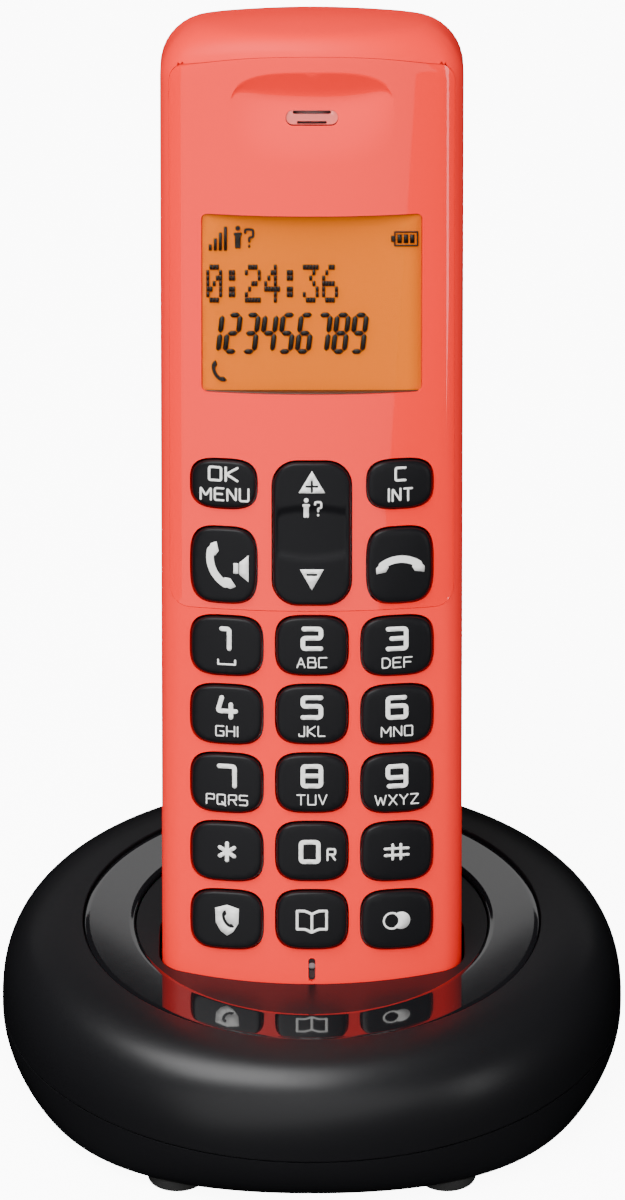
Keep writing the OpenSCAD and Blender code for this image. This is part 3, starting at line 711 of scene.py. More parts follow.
def key_piece(name):
    """pillow-topped key with rolled edges, hollow skirt below"""
    heights = [-KEY_SKIRT, 0.0, KEY_PROUD - KEY_ROLL]
    loops = [key_loop(name, 0.0)] * 3
    for i in range(1, 7):
        a = i / 6 * math.pi / 2
        loops.append(key_loop(name, KEY_ROLL * (1 - math.cos(a))))
        heights.append(KEY_PROUD - KEY_ROLL * (1 - math.sin(a)))
    n = len(loops[0])
    verts = [Vector((x, front_y(x) - h, z)) for loop, h in zip(loops, heights) for x, z in loop]
    verts[-n:] = [on_key(name, x, z) for x, z in loops[-1]]
    faces = bands(n, len(loops))
    _, cx, cz, w, h = KEYS[name]
    gap = 0.42 if name == "key_nav" else 0.6
    co, tri = filled(loops[-1], [], grid_over(cx - w / 2, cx + w / 2, cz - h / 2, cz + h / 2, gap))
    first = len(verts)
    verts += [on_key(name, x, z) for x, z in co]
    faces += [tuple(first + int(i) for i in f) for f in tri]
    mesh = facing_out(welded(mesh_from(name + "_cap", verts, faces), 0.002),
                      Vector((cx, front_y(cx) + 6, cz)))
    obj = link(name + "_cap", mesh)
    thickened(obj, 0.5)
    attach(obj, name)
    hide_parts(name)
    return obj


# ---- markings
GLYPHS = {  # strokes as x,z points on a grid 4 wide and 6 high
    "0": "0,0 0,6 4,6 4,0 0,0", "1": "0.8,6 2.5,6 2.5,0", "2": "0.2,6 4,6 4,3.2 0,3.2 0,0 4,0",
    "3": "0,6 4,6 4,0 0,0 / 0.8,3.1 4,3.1", "4": "0.9,6 0,1.9 4,1.9 / 2.9,3.9 2.9,0",
    "5": "4,6 0,6 0,3.4 4,3.4 4,0 0,0", "6": "3.7,6 0,6 0,0 4,0 4,3.5 0,3.5", "7": "0,6 3.4,6 3.4,0",
    "8": "0,0 0,6 4,6 4,0 0,0 / 0,3.1 4,3.1", "9": "4,2.6 0,2.6 0,6 4,6 4,0 0.3,0",
    "*": "2,1 2,5 / 0.27,2 3.73,4 / 0.27,4 3.73,2",
    "#": "1.2,1 1.2,5 / 2.8,1 2.8,5 / -0.3,2.1 4.3,2.1 / -0.3,3.9 4.3,3.9",
    "A": "0,0 2,6 4,0 / 0.8,2 3.2,2", "B": "0,0 0,6 3.6,6 3.6,3.2 0,3.2 / 3,3.2 4,3.2 4,0 0,0",
    "C": "4,6 0,6 0,0 4,0", "D": "0,0 0,6 2.4,6 4,4.5 4,1.5 2.4,0 0,0",
    "E": "4,6 0,6 0,0 4,0 / 0,3.1 3.4,3.1", "F": "4,6 0,6 0,0 / 0,3.1 3.4,3.1",
    "G": "4,6 0,6 0,0 4,0 4,3 2.2,3", "H": "0,0 0,6 / 4,0 4,6 / 0,3 4,3", "I": "0,0 0,6",
    "J": "2.8,6 2.8,0 0,0 0,1.2", "K": "0,0 0,6 / 3.9,6 0.2,3 3.9,0", "L": "0,6 0,0 3.4,0",
    "M": "0,0 0,6 2.4,2 4.8,6 4.8,0", "N": "0,0 0,6 4,0 4,6", "O": "0,0 0,6 4,6 4,0 0,0",
    "P": "0,0 0,6 4,6 4,3 0,3", "Q": "0,0 0,6 4,6 4,0 0,0 / 2.4,1.6 4.3,-0.8",
    "R": "0,0 0,6 4,6 4,3 0,3 / 2,3 4,0", "S": "4,6 0,6 0,3.1 4,3.1 4,0 0,0", "T": "0,6 4,6 / 2,6 2,0",
    "U": "0,6 0,0 4,0 4,6", "V": "0,6 2,0 4,6", "W": "0,6 1.4,0 2.8,5 4.2,0 5.6,6",
    "X": "0,0 4,6 / 0,6 4,0", "Y": "0,6 2,3 4,6 / 2,3 2,0", "Z": "0,6 4,6 0,0 4,0",
    "?": "0,4.9 0,6 3,6 3,3.3 1.5,3.3 1.5,1.9 / 1.5,0.1 1.5,0.3"}
GLYPHS = {c: [[tuple(float(v) for v in p.split(",")) for p in stroke.split()] for stroke in text.split("/")]
          for c, text in GLYPHS.items()}


def eased(path, r):
    """rounds the square corners of a stroke"""
    closed = path[0] == path[-1]
    pts = path[:-1] if closed else path
    out = []
    n = len(pts)
    for i, p in enumerate(pts):
        if not closed and i in (0, n - 1):
            out.append(p)
            continue
        a, b = Vector(pts[i - 1]), Vector(pts[(i + 1) % n])
        p = Vector(p)
        cut = min(r, (a - p).length * 0.48, (b - p).length * 0.48)
        u, v = p + (a - p).normalized() * cut, p + (b - p).normalized() * cut
        for k in range(5):
            q = k / 4
            out.append(tuple(u * (1 - q) ** 2 + p * 2 * q * (1 - q) + v * q * q))
    return out + [out[0]] if closed else out


def stroke_shapes(path, width, step=0.5):
    """a stroke as overlapping quads and discs"""
    shapes = []
    for a, b in zip(path, path[1:]):
        a, b = Vector(a), Vector(b)
        if (b - a).length < 1e-6:
            continue
        side = Vector((a.y - b.y, b.x - a.x)).normalized() * width / 2
        n = max(1, round((b - a).length / step))
        along = [a.lerp(b, k / n) for k in range(n + 1)]
        shapes.append([tuple(p + side) for p in along] + [tuple(p - side) for p in reversed(along)])
    for p in path:
        shapes.append(circle(*p, width / 2, 14))
    return shapes


def words(text, x, z, height, width_share, stroke, gap, ease=0.9):
    """strokes of a line of characters centred on (x, z), scaled to millimetres"""
    k = height / 6
    kx = k * width_share
    across = [[p[0] for s in GLYPHS[c] for p in s] for c in text]
    spans = [(min(xs), max(xs)) for xs in across]
    total = sum((b - a) * kx for a, b in spans) + gap * (len(text) - 1)
    left, shapes = x - total / 2, []
    for c, (a, b) in zip(text, spans):
        for s in GLYPHS[c]:
            path = [(left + (px - a) * kx, z + (pz - 3) * k) for px, pz in s]
            shapes += stroke_shapes(eased(path, ease * k), stroke)
        left += (b - a) * kx + gap
    return shapes


def receiver(x, z, size, turn):
    """the handset sign: an arc with two lobes"""
    def place(px, pz):
        c, s = math.cos(turn), math.sin(turn)
        return x + (px * c - pz * s) * size, z + (px * s + pz * c) * size
    arc = [place(px, pz) for px, pz in arc_points(0, -1.16, 1.36, math.radians(126), math.radians(54), 10)]
    shapes = stroke_shapes(arc, 0.32 * size, 0.3)
    for side in (-1, 1):
        lobe = [(side * 0.60, 0.06), (side * 0.90, 0.0), (side * 1.07, -0.18), (side * 1.06, -0.44),
                (side * 0.64, -0.36), (side * 0.52, -0.16)]
        shapes.append([place(px, pz) for px, pz in lobe][::side])
    return shapes


def person(x, z, k):
    """a small standing figure"""
    parts = [(0, 2.0, 0, 2.01, 1.0), (-0.5, 0.8, 0.5, 0.8, 0.7), (-0.28, 0.6, -0.28, -1.8, 0.58),
             (0.28, 0.6, 0.28, -1.8, 0.58)]
    return [s for x0, z0, x1, z1, width in parts
            for s in stroke_shapes([(x + x0 * k, z + z0 * k), (x + x1 * k, z + z1 * k)], width * k)]


def joined(shapes, cuts=()):
    """triangles that cover overlapping shapes, less the cuts"""
    co, tri, mid = triangles(list(shapes) + list(cuts), (), 1e-5)
    good = np.zeros(len(tri), bool)
    for loop in shapes:
        good |= inside(mid, loop)
    for loop in cuts:
        good &= ~inside(mid, loop)
    used = sorted({int(i) for f in tri[good] for i in f})
    again = {old: new for new, old in enumerate(used)}
    return co[used], [[again[int(i)] for i in f] for f in tri[good]]


DIGIT_H, DIGIT_STROKE, SMALL_H, SMALL_STROKE = 3.2, 0.72, 1.6, 0.21
SMALL = {"2": "ABC", "3": "DEF", "4": "GHI", "5": "JKL", "6": "MNO", "7": "PQRS", "8": "TUV", "9": "WXYZ"}


TEXTS = {  # text, place on the key, height, width share, stroke, gap, easing
    "1": [("1", -0.2, 1.3, DIGIT_H, 1.35, DIGIT_STROKE, 0)], "star": [("*", 0, 0.1, 4.2, 0.95, 0.62, 0)],
    "0": [("0", -0.35, 0.1, DIGIT_H, 1.3, DIGIT_STROKE, 0), ("R", 3.1, -0.35, 1.8, 1.0, 0.32, 0)],
    "hash": [("#", 0, 0.1, 3.6, 1.35, 0.42, 0, 0)],
    "ok": [("OK", -0.1, 1.75, 2.1, 1.35, 0.38, 0.75), ("MENU", 0.1, -1.55, 1.95, 1.05, 0.32, 0.62)],
    "clear": [("C", 0.1, 1.75, 2.0, 1.15, 0.38, 0), ("INT", 0.1, -1.6, 1.95, 0.95, 0.32, 0.6)],
    "nav": [("?", 1.0, 4.1, 2.3, 0.85, 0.32, 0)]}
TEXTS.update({digit: [(digit, 0, 1.3, DIGIT_H, 1.35, DIGIT_STROKE, 0),
                      (letters, 0, -2.6, SMALL_H, 1.15, SMALL_STROKE, 0.5, 0.6)]
              for digit, letters in SMALL.items()})


def key_marks(name):
    """(shapes, cuts) of the marking on a key"""
    _, x, z, _, _ = KEYS[name]
    sign = name[4:]
    text = [s for word, dx, dz, *rest in TEXTS.get(sign, ()) for s in words(word, x + dx, z + dz, *rest)]
    if sign == "1":
        space = [(x - 1.35, z - 2.2), (x - 1.35, z - 2.9), (x + 1.35, z - 2.9), (x + 1.35, z - 2.2)]
        return text + stroke_shapes(space, 0.3), []
    if sign == "talk":
        speaker = [(x + 1.5, z + 0.55), (x + 1.5, z - 1.15), (x + 2.3, z - 1.15), (x + 3.9, z - 2.5),
                   (x + 3.9, z + 1.9), (x + 2.3, z + 0.55)]
        cut = stroke_shapes([(x + 2.35, z - 1.4), (x + 2.35, z + 0.8)], 0.16)
        return receiver(x - 1.15, z - 0.3, 3.7, math.radians(113)) + [spread(speaker, 0.5)], cut
    if sign == "end":
        return receiver(x + 0.1, z + 0.4, 3.6, 0.0), []
    if sign == "lock":
        left = [(0, 2.6), (-1.9, 2.0), (-1.8, -0.4), (-1.0, -1.8), (0, -2.5)]
        right = [(-px, pz) for px, pz in left[-2:0:-1]]
        edge = [(x + px, z + pz) for px, pz in left + right]
        return [spread(edge, 0.5)], receiver(x - 0.1, z + 0.05, 1.45, math.radians(118))
    if sign == "book":
        left = [(x + px, z + pz) for px, pz in ((0, 1.1), (-1.1, 1.6), (-2.35, 1.6), (-2.35, -1.4),
                                                (-1.1, -1.4), (0, -1.9))]
        right = [(2 * x - px, pz) for px, pz in reversed(left)]
        return (stroke_shapes(left + [left[0]], 0.42) + stroke_shapes(right + [right[0]], 0.42), [])
    if sign == "redial":
        ring = arc_points(x - 0.75, z, 1.3, 0, 2 * math.pi, 26)
        disc = circle(x + 0.75, z, 1.42, 28)
        gap = circle(x - 0.75, z, 1.05, 26)
        return stroke_shapes(ring, 0.3) + [disc], [gap]
    if sign != "nav":
        return text, []
    up = [(x - 2.1, z + 6.7), (x + 2.1, z + 6.7), (x, z + 10.3)]
    down = [(x, z - 9.1), (x + 1.9, z - 5.7), (x - 1.9, z - 5.7)]
    plus = stroke_shapes([(x - 0.85, z + 7.75), (x + 0.85, z + 7.75)], 0.34) + stroke_shapes(
        [(x, z + 6.9), (x, z + 8.6)], 0.34)
    minus = stroke_shapes([(x - 0.7, z - 6.6), (x + 0.7, z - 6.6)], 0.36)
    return [spread(up, 0.5), spread(down, 0.5)] + person(x - 0.9, z + 4.1, 0.72) + text, plus + minus


MARK_LIFT, MARK_T = 0.03, 0.06


def key_marking(name):
    """the sign printed on a key"""
    co, tri = joined(*key_marks(name))
    _, cx, cz, _, _ = KEYS[name]
    mesh = mesh_from(name + "_marking", [on_key(name, x, z, MARK_LIFT) for x, z in co], tri)
    obj = link(name + "_marking", facing_out(mesh, Vector((cx, front_y(cx) + 30, cz))))
    thickened(obj, MARK_T)
    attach(obj, name)
    return obj


# ---- display
LCD_Y = -10.3  # backlit plate
LENS_SUNK = 0.12  # the window lies this deep in the panel
SEGMENT_Y = LCD_Y - 0.4  # printed segments float in front of it
DOTS = {  # rows of the small dot characters, from the top
    "0": "01110 10001 10011 10101 11001 10001 01110", "2": "01110 10001 00001 00110 01000 10000 11111",
    "3": "11111 00010 00100 00010 00001 10001 01110", "4": "00010 00110 01010 10010 11111 00010 00010",
    "6": "00110 01000 10000 11110 10001 10001 01110", ":": "00000 01100 01100 00000 01100 01100 00000"}
BARS = {"1": "bc", "2": "abged", "3": "abgcd", "4": "fgbc", "5": "afgcd", "6": "afgedc", "7": "abc",
        "8": "abcdefg", "9": "abcdfg"}


def box_shape(x0, z0, x1, z1):
    return [(x0, z0), (x1, z0), (x1, z1), (x0, z1)]


def dot_text(text, left, low, height, pitch):
    """characters made of small dots"""
    cell = height / 7
    wide = pitch / 6
    shapes = []
    for i, c in enumerate(text):
        for row, bits in enumerate(DOTS[c].split()):
            for col, bit in enumerate(bits):
                if bit == "1":
                    x0, z0 = left + i * pitch + col * wide, low + (6 - row) * cell
                    shapes.append(box_shape(x0, z0, x0 + wide * 0.96, z0 + cell * 0.93))
    return shapes


def bar_digit(c, left, low, w, h, t=0.8, slant=0.12):
    """a seven-bar digit"""
    half, gap = h / 2, 0.07
    ends = {"a": ((0, h), (w, h)), "g": ((0, half), (w, half)), "d": ((0, 0), (w, 0)),
            "f": ((0, half), (0, h)), "b": ((w, half), (w, h)),
            "e": ((0, 0), (0, half)), "c": ((w, 0), (w, half))}
    shapes = []
    for name in BARS[c]:
        a, b = Vector(ends[name][0]), Vector(ends[name][1])
        along = (b - a).normalized()
        side = Vector((-along.y, along.x)) * t / 2
        a, b = a + along * gap, b - along * gap
        tip = along * t / 2
        loop = [a, a + tip - side, b - tip - side, b, b - tip + side, a + tip + side]
        shapes.append([(left + p.x + p.y * slant, low + p.y) for p in loop])
    return shapes


def display_shapes():
    shapes = dot_text("0:24:36", -16.7, 120.5, 6.2, 3.05)
    for i, c in enumerate("123456789"):
        shapes += bar_digit(c, -16.6 + i * 2.85, 112.6, 1.75, 5.9)
    for i in range(4):
        shapes.append(box_shape(-16.3 + i * 0.8, 128.9, -15.8 + i * 0.8, 129.9 + i * 0.95))
    shapes += person(-11.7, 130.9, 0.8) + words("?", -9.9, 130.9, 2.8, 0.9, 0.4, 0)
    frame_path = [(13.1, 129.7), (16.7, 129.7), (16.7, 131.9), (13.1, 131.9), (13.1, 129.7)]
    shapes += stroke_shapes(frame_path, 0.26) + [box_shape(12.5, 130.3, 13.0, 131.3)]
    shapes += [box_shape(13.5 + i * 1.0, 130.1, 14.2 + i * 1.0, 131.5) for i in range(3)]
    shapes += receiver(-15.0, 109.2, 1.75, math.radians(118))
    return shapes


def flat_front(name, co, tri, y):
    mesh = mesh_from(name, [(x, y, z) for x, z in co], tri, True)
    return link(name, facing_out(mesh, Vector((0, y + 20, LCD_Z))))


def display():
    """backlit plate, segments, the well round them and the clear window"""
    plate = rounded_rect(0, LCD_Z, LCD_W - 0.4, LCD_H + 0.6, 0.8)
    grid = grid_over(-17, 17, LCD_Z - 14, LCD_Z + 14, 2.0)
    light = flat_front("display_plate", *filled(plate, [], grid), LCD_Y)
    thickened(light, 0.8)
    marks = flat_front("display_segments", *joined(display_shapes()), SEGMENT_Y)
    thickened(marks, 0.06)
    # the well's walls are real, but their dark brown is painted shade: the tone of the shadow along the
    # window's inner edges
    rings = []
    for k, inset in ((0.0, -0.12), (0.5, -0.12), (0.9, -0.12), (1.0, -0.1)):
        loop = rounded_rect(0, LCD_Z, LCD_W - 2 * inset, LCD_H - 2 * inset, 1.1, 0.8)
        rings.append([Vector((x, (front_y(x) + 0.5) * (1 - k) + (LCD_Y + 0.4) * k, z)) for x, z in loop])
    well = link("display_well", ring_loft("display_well", rings, False))
    thickened(well, 0.3, offset=1)
    lens_loop = rounded_rect(0, LCD_Z, LCD_W - 0.12, LCD_H - 0.12, 0.95, 0.6, 5)
    grid = grid_over(-17.3, 17.3, LCD_Z - 14.3, LCD_Z + 14.3, 1.2)
    mesh = laid("display_lens", lens_loop, [], grid, lambda x, z: (x, front_y(x) + LENS_SUNK, z))
    lens = link("display_lens", facing_out(mesh, HS_MIDDLE))
    for obj in (light, marks, well, lens):
        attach(obj, "handset")
    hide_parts("display_window")
    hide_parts("lcd_module")
    return light, marks, well, lens


def slot_bar():
    """the insert in the earpiece slot, cut by a long slit above and a short one below"""
    depth = scoop_depth(0, EAR_Z) + 0.28
    outline = rounded_rect(0, EAR_Z - 0.2, SLOT_W - 0.06, SLOT_H - 0.06, SLOT_H / 2 - 0.09, 0.35, 8)
    slits = [rounded_rect(0, EAR_Z + 0.58, 6.0, 0.55, 0.27, 0.3),
             rounded_rect(0, EAR_Z - 1.05, 4.7, 0.46, 0.22, 0.3)]
    grid = grid_over(-4, 4, EAR_Z - 1.2, EAR_Z + 1.0, 0.4)
    mesh = laid("earpiece_bar", outline, slits, grid, lambda x, z: (x, front_y(x) + depth, z))
    obj = link("earpiece_bar", facing_out(mesh, Vector((0, 0, EAR_Z))))
    thickened(obj, 0.5, 0.05)
    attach(obj, "handset")
    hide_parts("earpiece_grille")
    return obj


# ---- base
SEAM_Z, SEAM_GAP = 10.5, 0.15
BASE_R, BASE_H, FOOT_H = 50.0, 25.5, 2.0
DISC_R, DISC_GAP, RING_R = 36.7, 0.2, 28.3
RING_Z = BASE_H - 1.0
DISC_FOOT, DISC_Z0, DISC_Z1 = 23.5, 25.1, 25.15
BOTTOM_R = 44.0
DOCK_GAP, WELL_FLOOR = 0.5, -0.3
FEET = [(sx * 21.5, sy * 37.5) for sx in (-1, 1) for sy in (-1, 1)]
FOOT_R = 4.7
BASE_SCREWS = [(sx * 32, sy * 24) for sx in (-1, 1) for sy in (-1, 1)]
SOCKET_X, SOCKET_HALF, SOCKET_TOP = 16.0, 6.75, 16.7
BUTTON_Z, BUTTON_R = 14.5, 2.8
DIAGONAL_KEPT = 0.78  # how much fuller the underside is at its corners


def corner_curve(r0, r1, z0, z1, power, n):
    """points of a full corner from (r1, z0) to (r0, z1)"""
    turns = [math.pi / 2 * i / n for i in range(n + 1)]
    return [(r0 + (r1 - r0) * math.cos(t) ** (2 / power), z0 + (z1 - z0) * math.sin(t) ** (2 / power))
            for t in turns]


class Curve:
    """a radius-and-height curve walked by length"""

    def __init__(self, points):
        self.pts = np.array(points)
        gaps = np.hypot(*(self.pts[1:] - self.pts[:-1]).T)
        self.v = np.concatenate([[0.0], np.cumsum(gaps)])
        self.length = float(self.v[-1])

    def at(self, v):
        return float(np.interp(v, self.v, self.pts[:, 0])), float(np.interp(v, self.v, self.pts[:, 1]))

    def v_of_z(self, z):
        zs = self.pts[:, 1]
        order = np.argsort(zs)
        return float(np.interp(z, zs[order], self.v[order]))


UPPER = Curve(corner_curve(DISC_R + DISC_GAP, BASE_R, SEAM_Z + SEAM_GAP, BASE_H, 2.6, 240))
LOWER = Curve(corner_curve(BOTTOM_R, BASE_R, SEAM_Z, FOOT_H, 2.2, 160))
STRIP_GAP = 1.4
TURN = math.pi * BASE_R  # half of the way round, measured at the seam


def round_base(u, r, z, squared=False):
    """point at u round the base from its rear middle"""
    a = u / BASE_R
    x, y = math.sin(a), math.cos(a)
    if squared:
        full = (abs(x) ** 2.5 + abs(y) ** 2.5) ** -0.4
        keep = 1 - DIAGONAL_KEPT * (full - 1) / (2 ** 0.1 - 1)
        r = BASE_R - (BASE_R - r) * keep
    return Vector((x * r, y * r, z))


def notched(curve, socket_z):
    """a strip round the base with notches over the two sockets"""
    v = curve.v_of_z(socket_z)
    near, far = (math.asin((SOCKET_X + d) / BASE_R) * BASE_R for d in (-SOCKET_HALF, SOCKET_HALF))
    steps = [(near, 0), (near, v), (far, v), (far, 0), (TURN, 0)]
    low = [(-u, w) for u, w in reversed(steps)] + steps
    return spread(low + [(TURN, curve.length), (-TURN, curve.length)], STRIP_GAP)


def round_sheet(name, curve, outline, holes, squared=False):
    """a strip of the curve swept round the base"""
    grid = [(u, v) for u in np.linspace(-TURN, TURN, 181)[1:-1] for v in curve.v[::8]]
    return laid(name, outline, holes, grid, lambda u, v: round_base(u, *curve.at(v), squared))


def base_upper():
    v = UPPER.v_of_z(BUTTON_Z)
    button = circle(0, v, BUTTON_R + 0.2, 32)
    mesh = round_sheet("base_upper_skin", UPPER, notched(UPPER, SOCKET_TOP), [button])
    obj = link("base_upper_skin", facing_out(welded(mesh, 0.01), Vector((0, 0, 5))), BASE_TO_WORLD)
    thickened(obj, 1.8, 0.22, 3)
    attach(obj, "base")
    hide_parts("base_upper_shell")
    return obj


def base_lower():
    wall = round_sheet("base_lower_skin", LOWER, notched(LOWER, 6.7), [], True)
    n = math.ceil(2 * TURN / STRIP_GAP)
    rim = [tuple(round_base(TURN - 2 * TURN * i / n, *LOWER.at(LOWER.length), True)[:2]) for i in range(n)]
    holes = [circle(x, y, FOOT_R + 0.06, 40) for x, y in FEET]
    holes += [circle(x, y, 2.4, 28) for x, y in BASE_SCREWS]
    vents = [rounded_rect(x, 0, 1.4, 16, 0.7, 1.5) for x in (-16, -12, -8, -4, 4, 8, 12, 16)]
    floor = laid("base_floor", rim, holes + vents, grid_over(-50, 50, -50, 50, 3.0),
                 lambda x, y: (x, y, FOOT_H))
    merged(wall, [floor])
    mesh = facing_out(welded(wall, 0.02), Vector((0, 0, 9)))
    obj = link("base_lower_skin", mesh, BASE_TO_WORLD)
    thickened(obj, 1.6, 0.2)
    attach(obj, "base")
    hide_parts("base_lower_shell")
    return obj


def level_ring(r, z, n):
    return [(x, y, z) for x, y in circle(0, 0, r, n)]


def cradle_disc():
    """the glossy ring, almost flat, with rolled rims"""
    r0, r1 = RING_R + DISC_GAP, DISC_R
    section = [(r1, DISC_FOOT), (r1, DISC_Z1 - 0.3), (r1 - 0.09, DISC_Z1 - 0.09), (r1 - 0.3, DISC_Z1)]
    section += [(r1 - 0.3 + (r0 + 0.6 - r1) * k / 12, DISC_Z1 + (DISC_Z0 - DISC_Z1) * k / 12)
                for k in range(1, 12)]
    section += [(r0 + 0.3, DISC_Z0), (r0 + 0.09, DISC_Z0 - 0.09), (r0, DISC_Z0 - 0.3), (r0, DISC_FOOT)]
    rings = [level_ring(r, z, 192) for r, z in section + section[:1]]
    mesh = welded(ring_loft("cradle_disc_gloss", rings, False), 0.002)
    obj = link("cradle_disc_gloss", facing_out(mesh, Vector((0, 0, -40))), BASE_TO_WORLD)
    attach(obj, "base")
    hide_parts("cradle_disc")
    return obj


def well_loop(level_z=None):
    """the well's outline at a level of the base, or on its own floor"""
    c, s = math.cos(LEAN), math.sin(LEAN)
    pts = []
    for i in range(160):
        x, y = SECTION.at((i / 80 - 1) * SECTION.half, -DOCK_GAP)[:2]
        along = WELL_FLOOR if level_z is None else (level_z - DOCK.z + y * s) / c
        pts.append(Vector((x, DOCK.y + y * c + along * s, DOCK.z - y * s + along * c)))
    return pts


def cradle_cup():
    """the satin collar and the well that takes the handset's foot"""
    rim = well_loop(RING_Z)
    grid = [p for r in np.arange(10, RING_R, 0.9) for p in circle(0, 0, r, 149)]
    top = laid("cradle_cup_skin", circle(0, 0, RING_R, 160), [[(p.x, p.y) for p in rim]], grid,
               lambda x, y: (x, y, RING_Z))
    base_loop = well_loop()
    rings = [[a.lerp(b, k) for a, b in zip(rim, base_loop)] for k in np.linspace(0, 1, 10)]
    middle = sum(base_loop, Vector()) / len(base_loop)
    rings += [[p.lerp(middle, k) for p in base_loop] for k in np.linspace(0, 0.97, 12)[1:]]
    skirt = [level_ring(RING_R, RING_Z, 160), level_ring(RING_R, RING_Z - 1.0, 160)]
    merged(top, [ring_loft("well", rings), ring_loft("skirt", skirt, False)])
    mesh = facing_out(welded(top, 0.004), Vector((0, -4, -60)))
    obj = link("cradle_cup_skin", mesh, BASE_TO_WORLD)
    thickened(obj, 0.9, 0.25, 3)
    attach(obj, "base")
    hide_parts("cradle_cup")
    return obj


def turned(name, section, centre, axis, n=64):
    """a turned piece: section is (radius, distance along the axis)"""
    axis = Vector(axis).normalized()
    side = axis.orthogonal().normalized()
    other = axis.cross(side)
    rings = [[Vector(centre) + axis * d + (side * math.cos(a) + other * math.sin(a)) * r
              for a in np.linspace(0, 2 * math.pi, n + 1)[:-1]] for r, d in section]
    middle = Vector(centre) + axis * section[len(section) // 2][1] * 0.5
    return facing_out(welded(ring_loft(name, rings, True, True), 0.001), middle)


def foot(x, y, name):
    r = FOOT_R
    section = [(0.6, 0.28), (r - 1.5, 0.28), (r - 1.2, 0.06), (r - 0.85, 0.0), (r - 0.4, 0.0),
               (r - 0.12, 0.12), (r, 0.4), (r, 1.2), (r, 2.4), (r - 0.2, 2.55)]
    obj = link(name, turned(name, section, (x, y, 0), (0, 0, 1)), BASE_TO_WORLD)
    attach(obj, "base")
    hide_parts("base_feet")
    return obj


def page_button():
    r = BUTTON_R
    section = [(1.0, 44.4), (r, 44.4), (r, 45.6), (r + 0.7, 45.6), (r + 0.7, 46.4), (r, 46.4), (r, 49.0),
               (r - 0.1, 49.3), (r - 0.4, 49.52), (r - 1.0, 49.6), (1.2, 49.52), (0.3, 49.5)]
    mesh = turned("page_button_cap", section, (0, 0, BUTTON_Z), (0, 1, 0))
    obj = link("page_button_cap", mesh, BASE_TO_WORLD)
    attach(obj, "page_button")
    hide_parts("page_button")
    return obj


# ---- materials
def settle(node, **values):
    """sets a shader node's inputs; _ stands for a space in an input's name"""
    for key, value in values.items():
        node.inputs[key.replace("_", " ")].default_value = value
    return node


def tinted(colour, k, lift=0.0):
    return (*[min(c * k + lift, 1.0) for c in colour], 1)


class Finish:
    """a material under construction: its tree, its shader and its object coordinates"""

    def __init__(self, name):
        self.mat = bpy.data.materials.new(name)
        self.mat.use_nodes = True
        self.tree = self.mat.node_tree
        self.shader = self.tree.nodes["Principled BSDF"]
        self.coords = self.add("ShaderNodeTexCoord").outputs["Object"]

    def add(self, kind, **values):
        return settle(self.tree.nodes.new(kind), **values)

    def wire(self, out, into):
        self.tree.links.new(out, into)

    def math(self, operation, a, factor, extra=None):
        """a * factor, or a * factor + extra"""
        made = self.add("ShaderNodeMath")
        made.operation = operation
        made.inputs[1].default_value = factor
        self.wire(a, made.inputs[0])
        if extra:
            self.wire(extra, made.inputs[2])
        return made.outputs[0]

    def between(self, value, low, high):
        made = self.add("ShaderNodeMapRange", To_Min=low, To_Max=high)
        self.wire(value, made.inputs["Value"])
        return made.outputs["Result"]


def moulded(name, colour, rough, metal=0.0, coat=0.0, grain=900.0, bump=0.02, mottle=0.05, rough_play=0.06,
            glow=0.0, specular=0.5, stretch=None):
    """moulded or plated surface: fine grain in colour, roughness and relief over a slow drift"""
    f = Finish(name)
    fine = f.add("ShaderNodeTexNoise", Scale=grain, Detail=4.0)
    slow = f.add("ShaderNodeTexNoise", Scale=38.0, Detail=3.0)
    f.wire(f.coords, slow.inputs["Vector"])
    if stretch:
        mapping = f.add("ShaderNodeMapping", Scale=stretch)
        f.wire(f.coords, mapping.inputs["Vector"])
        f.wire(mapping.outputs["Vector"], fine.inputs["Vector"])
    else:
        f.wire(f.coords, fine.inputs["Vector"])
    tint = f.add("ShaderNodeMix")
    tint.data_type = "RGBA"
    settle(tint, A=tinted(colour, 1 - mottle), B=tinted(colour, 1 + mottle))
    f.wire(slow.outputs["Fac"], tint.inputs["Factor"])
    f.wire(tint.outputs["Result"], f.shader.inputs["Base Color"])
    drift = f.math("MULTIPLY", slow.outputs["Fac"], 0.5)
    worn = f.math("MULTIPLY_ADD", fine.outputs["Fac"], 0.5, drift)
    low, high = max(rough - rough_play, 0.01), min(rough + rough_play, 1.0)
    f.wire(f.between(worn, low, high), f.shader.inputs["Roughness"])
    relief = f.add("ShaderNodeBump", Strength=bump, Distance=0.0002)
    f.wire(fine.outputs["Fac"], relief.inputs["Height"])
    f.wire(relief.outputs["Normal"], f.shader.inputs["Normal"])
    settle(f.shader, Metallic=metal, Coat_Weight=coat, Coat_Roughness=0.03, Specular_IOR_Level=specular)
    if glow:
        settle(f.shader, Emission_Color=(*colour, 1), Emission_Strength=glow)
    return f


def board(name, colour):
    """solder mask with paler copper tracks under it"""
    f = moulded(name, colour, 0.32, coat=0.4, grain=1500.0)
    tracks = f.add("ShaderNodeTexBrick", Scale=260.0, Mortar_Size=0.035, Color1=(*colour, 1),
                   Color2=tinted(colour, 1.15), Mortar=tinted(colour, 2.4, 0.02))
    f.wire(f.coords, tracks.inputs["Vector"])
    f.wire(tracks.outputs["Color"], f.shader.inputs["Base Color"])
    return f


def brushed(name, colour, rough):
    """drawn metal: the grain runs one way"""
    return moulded(name, colour, rough, metal=1.0, bump=0.05, rough_play=0.08, stretch=(1.0, 1.0, 0.06))


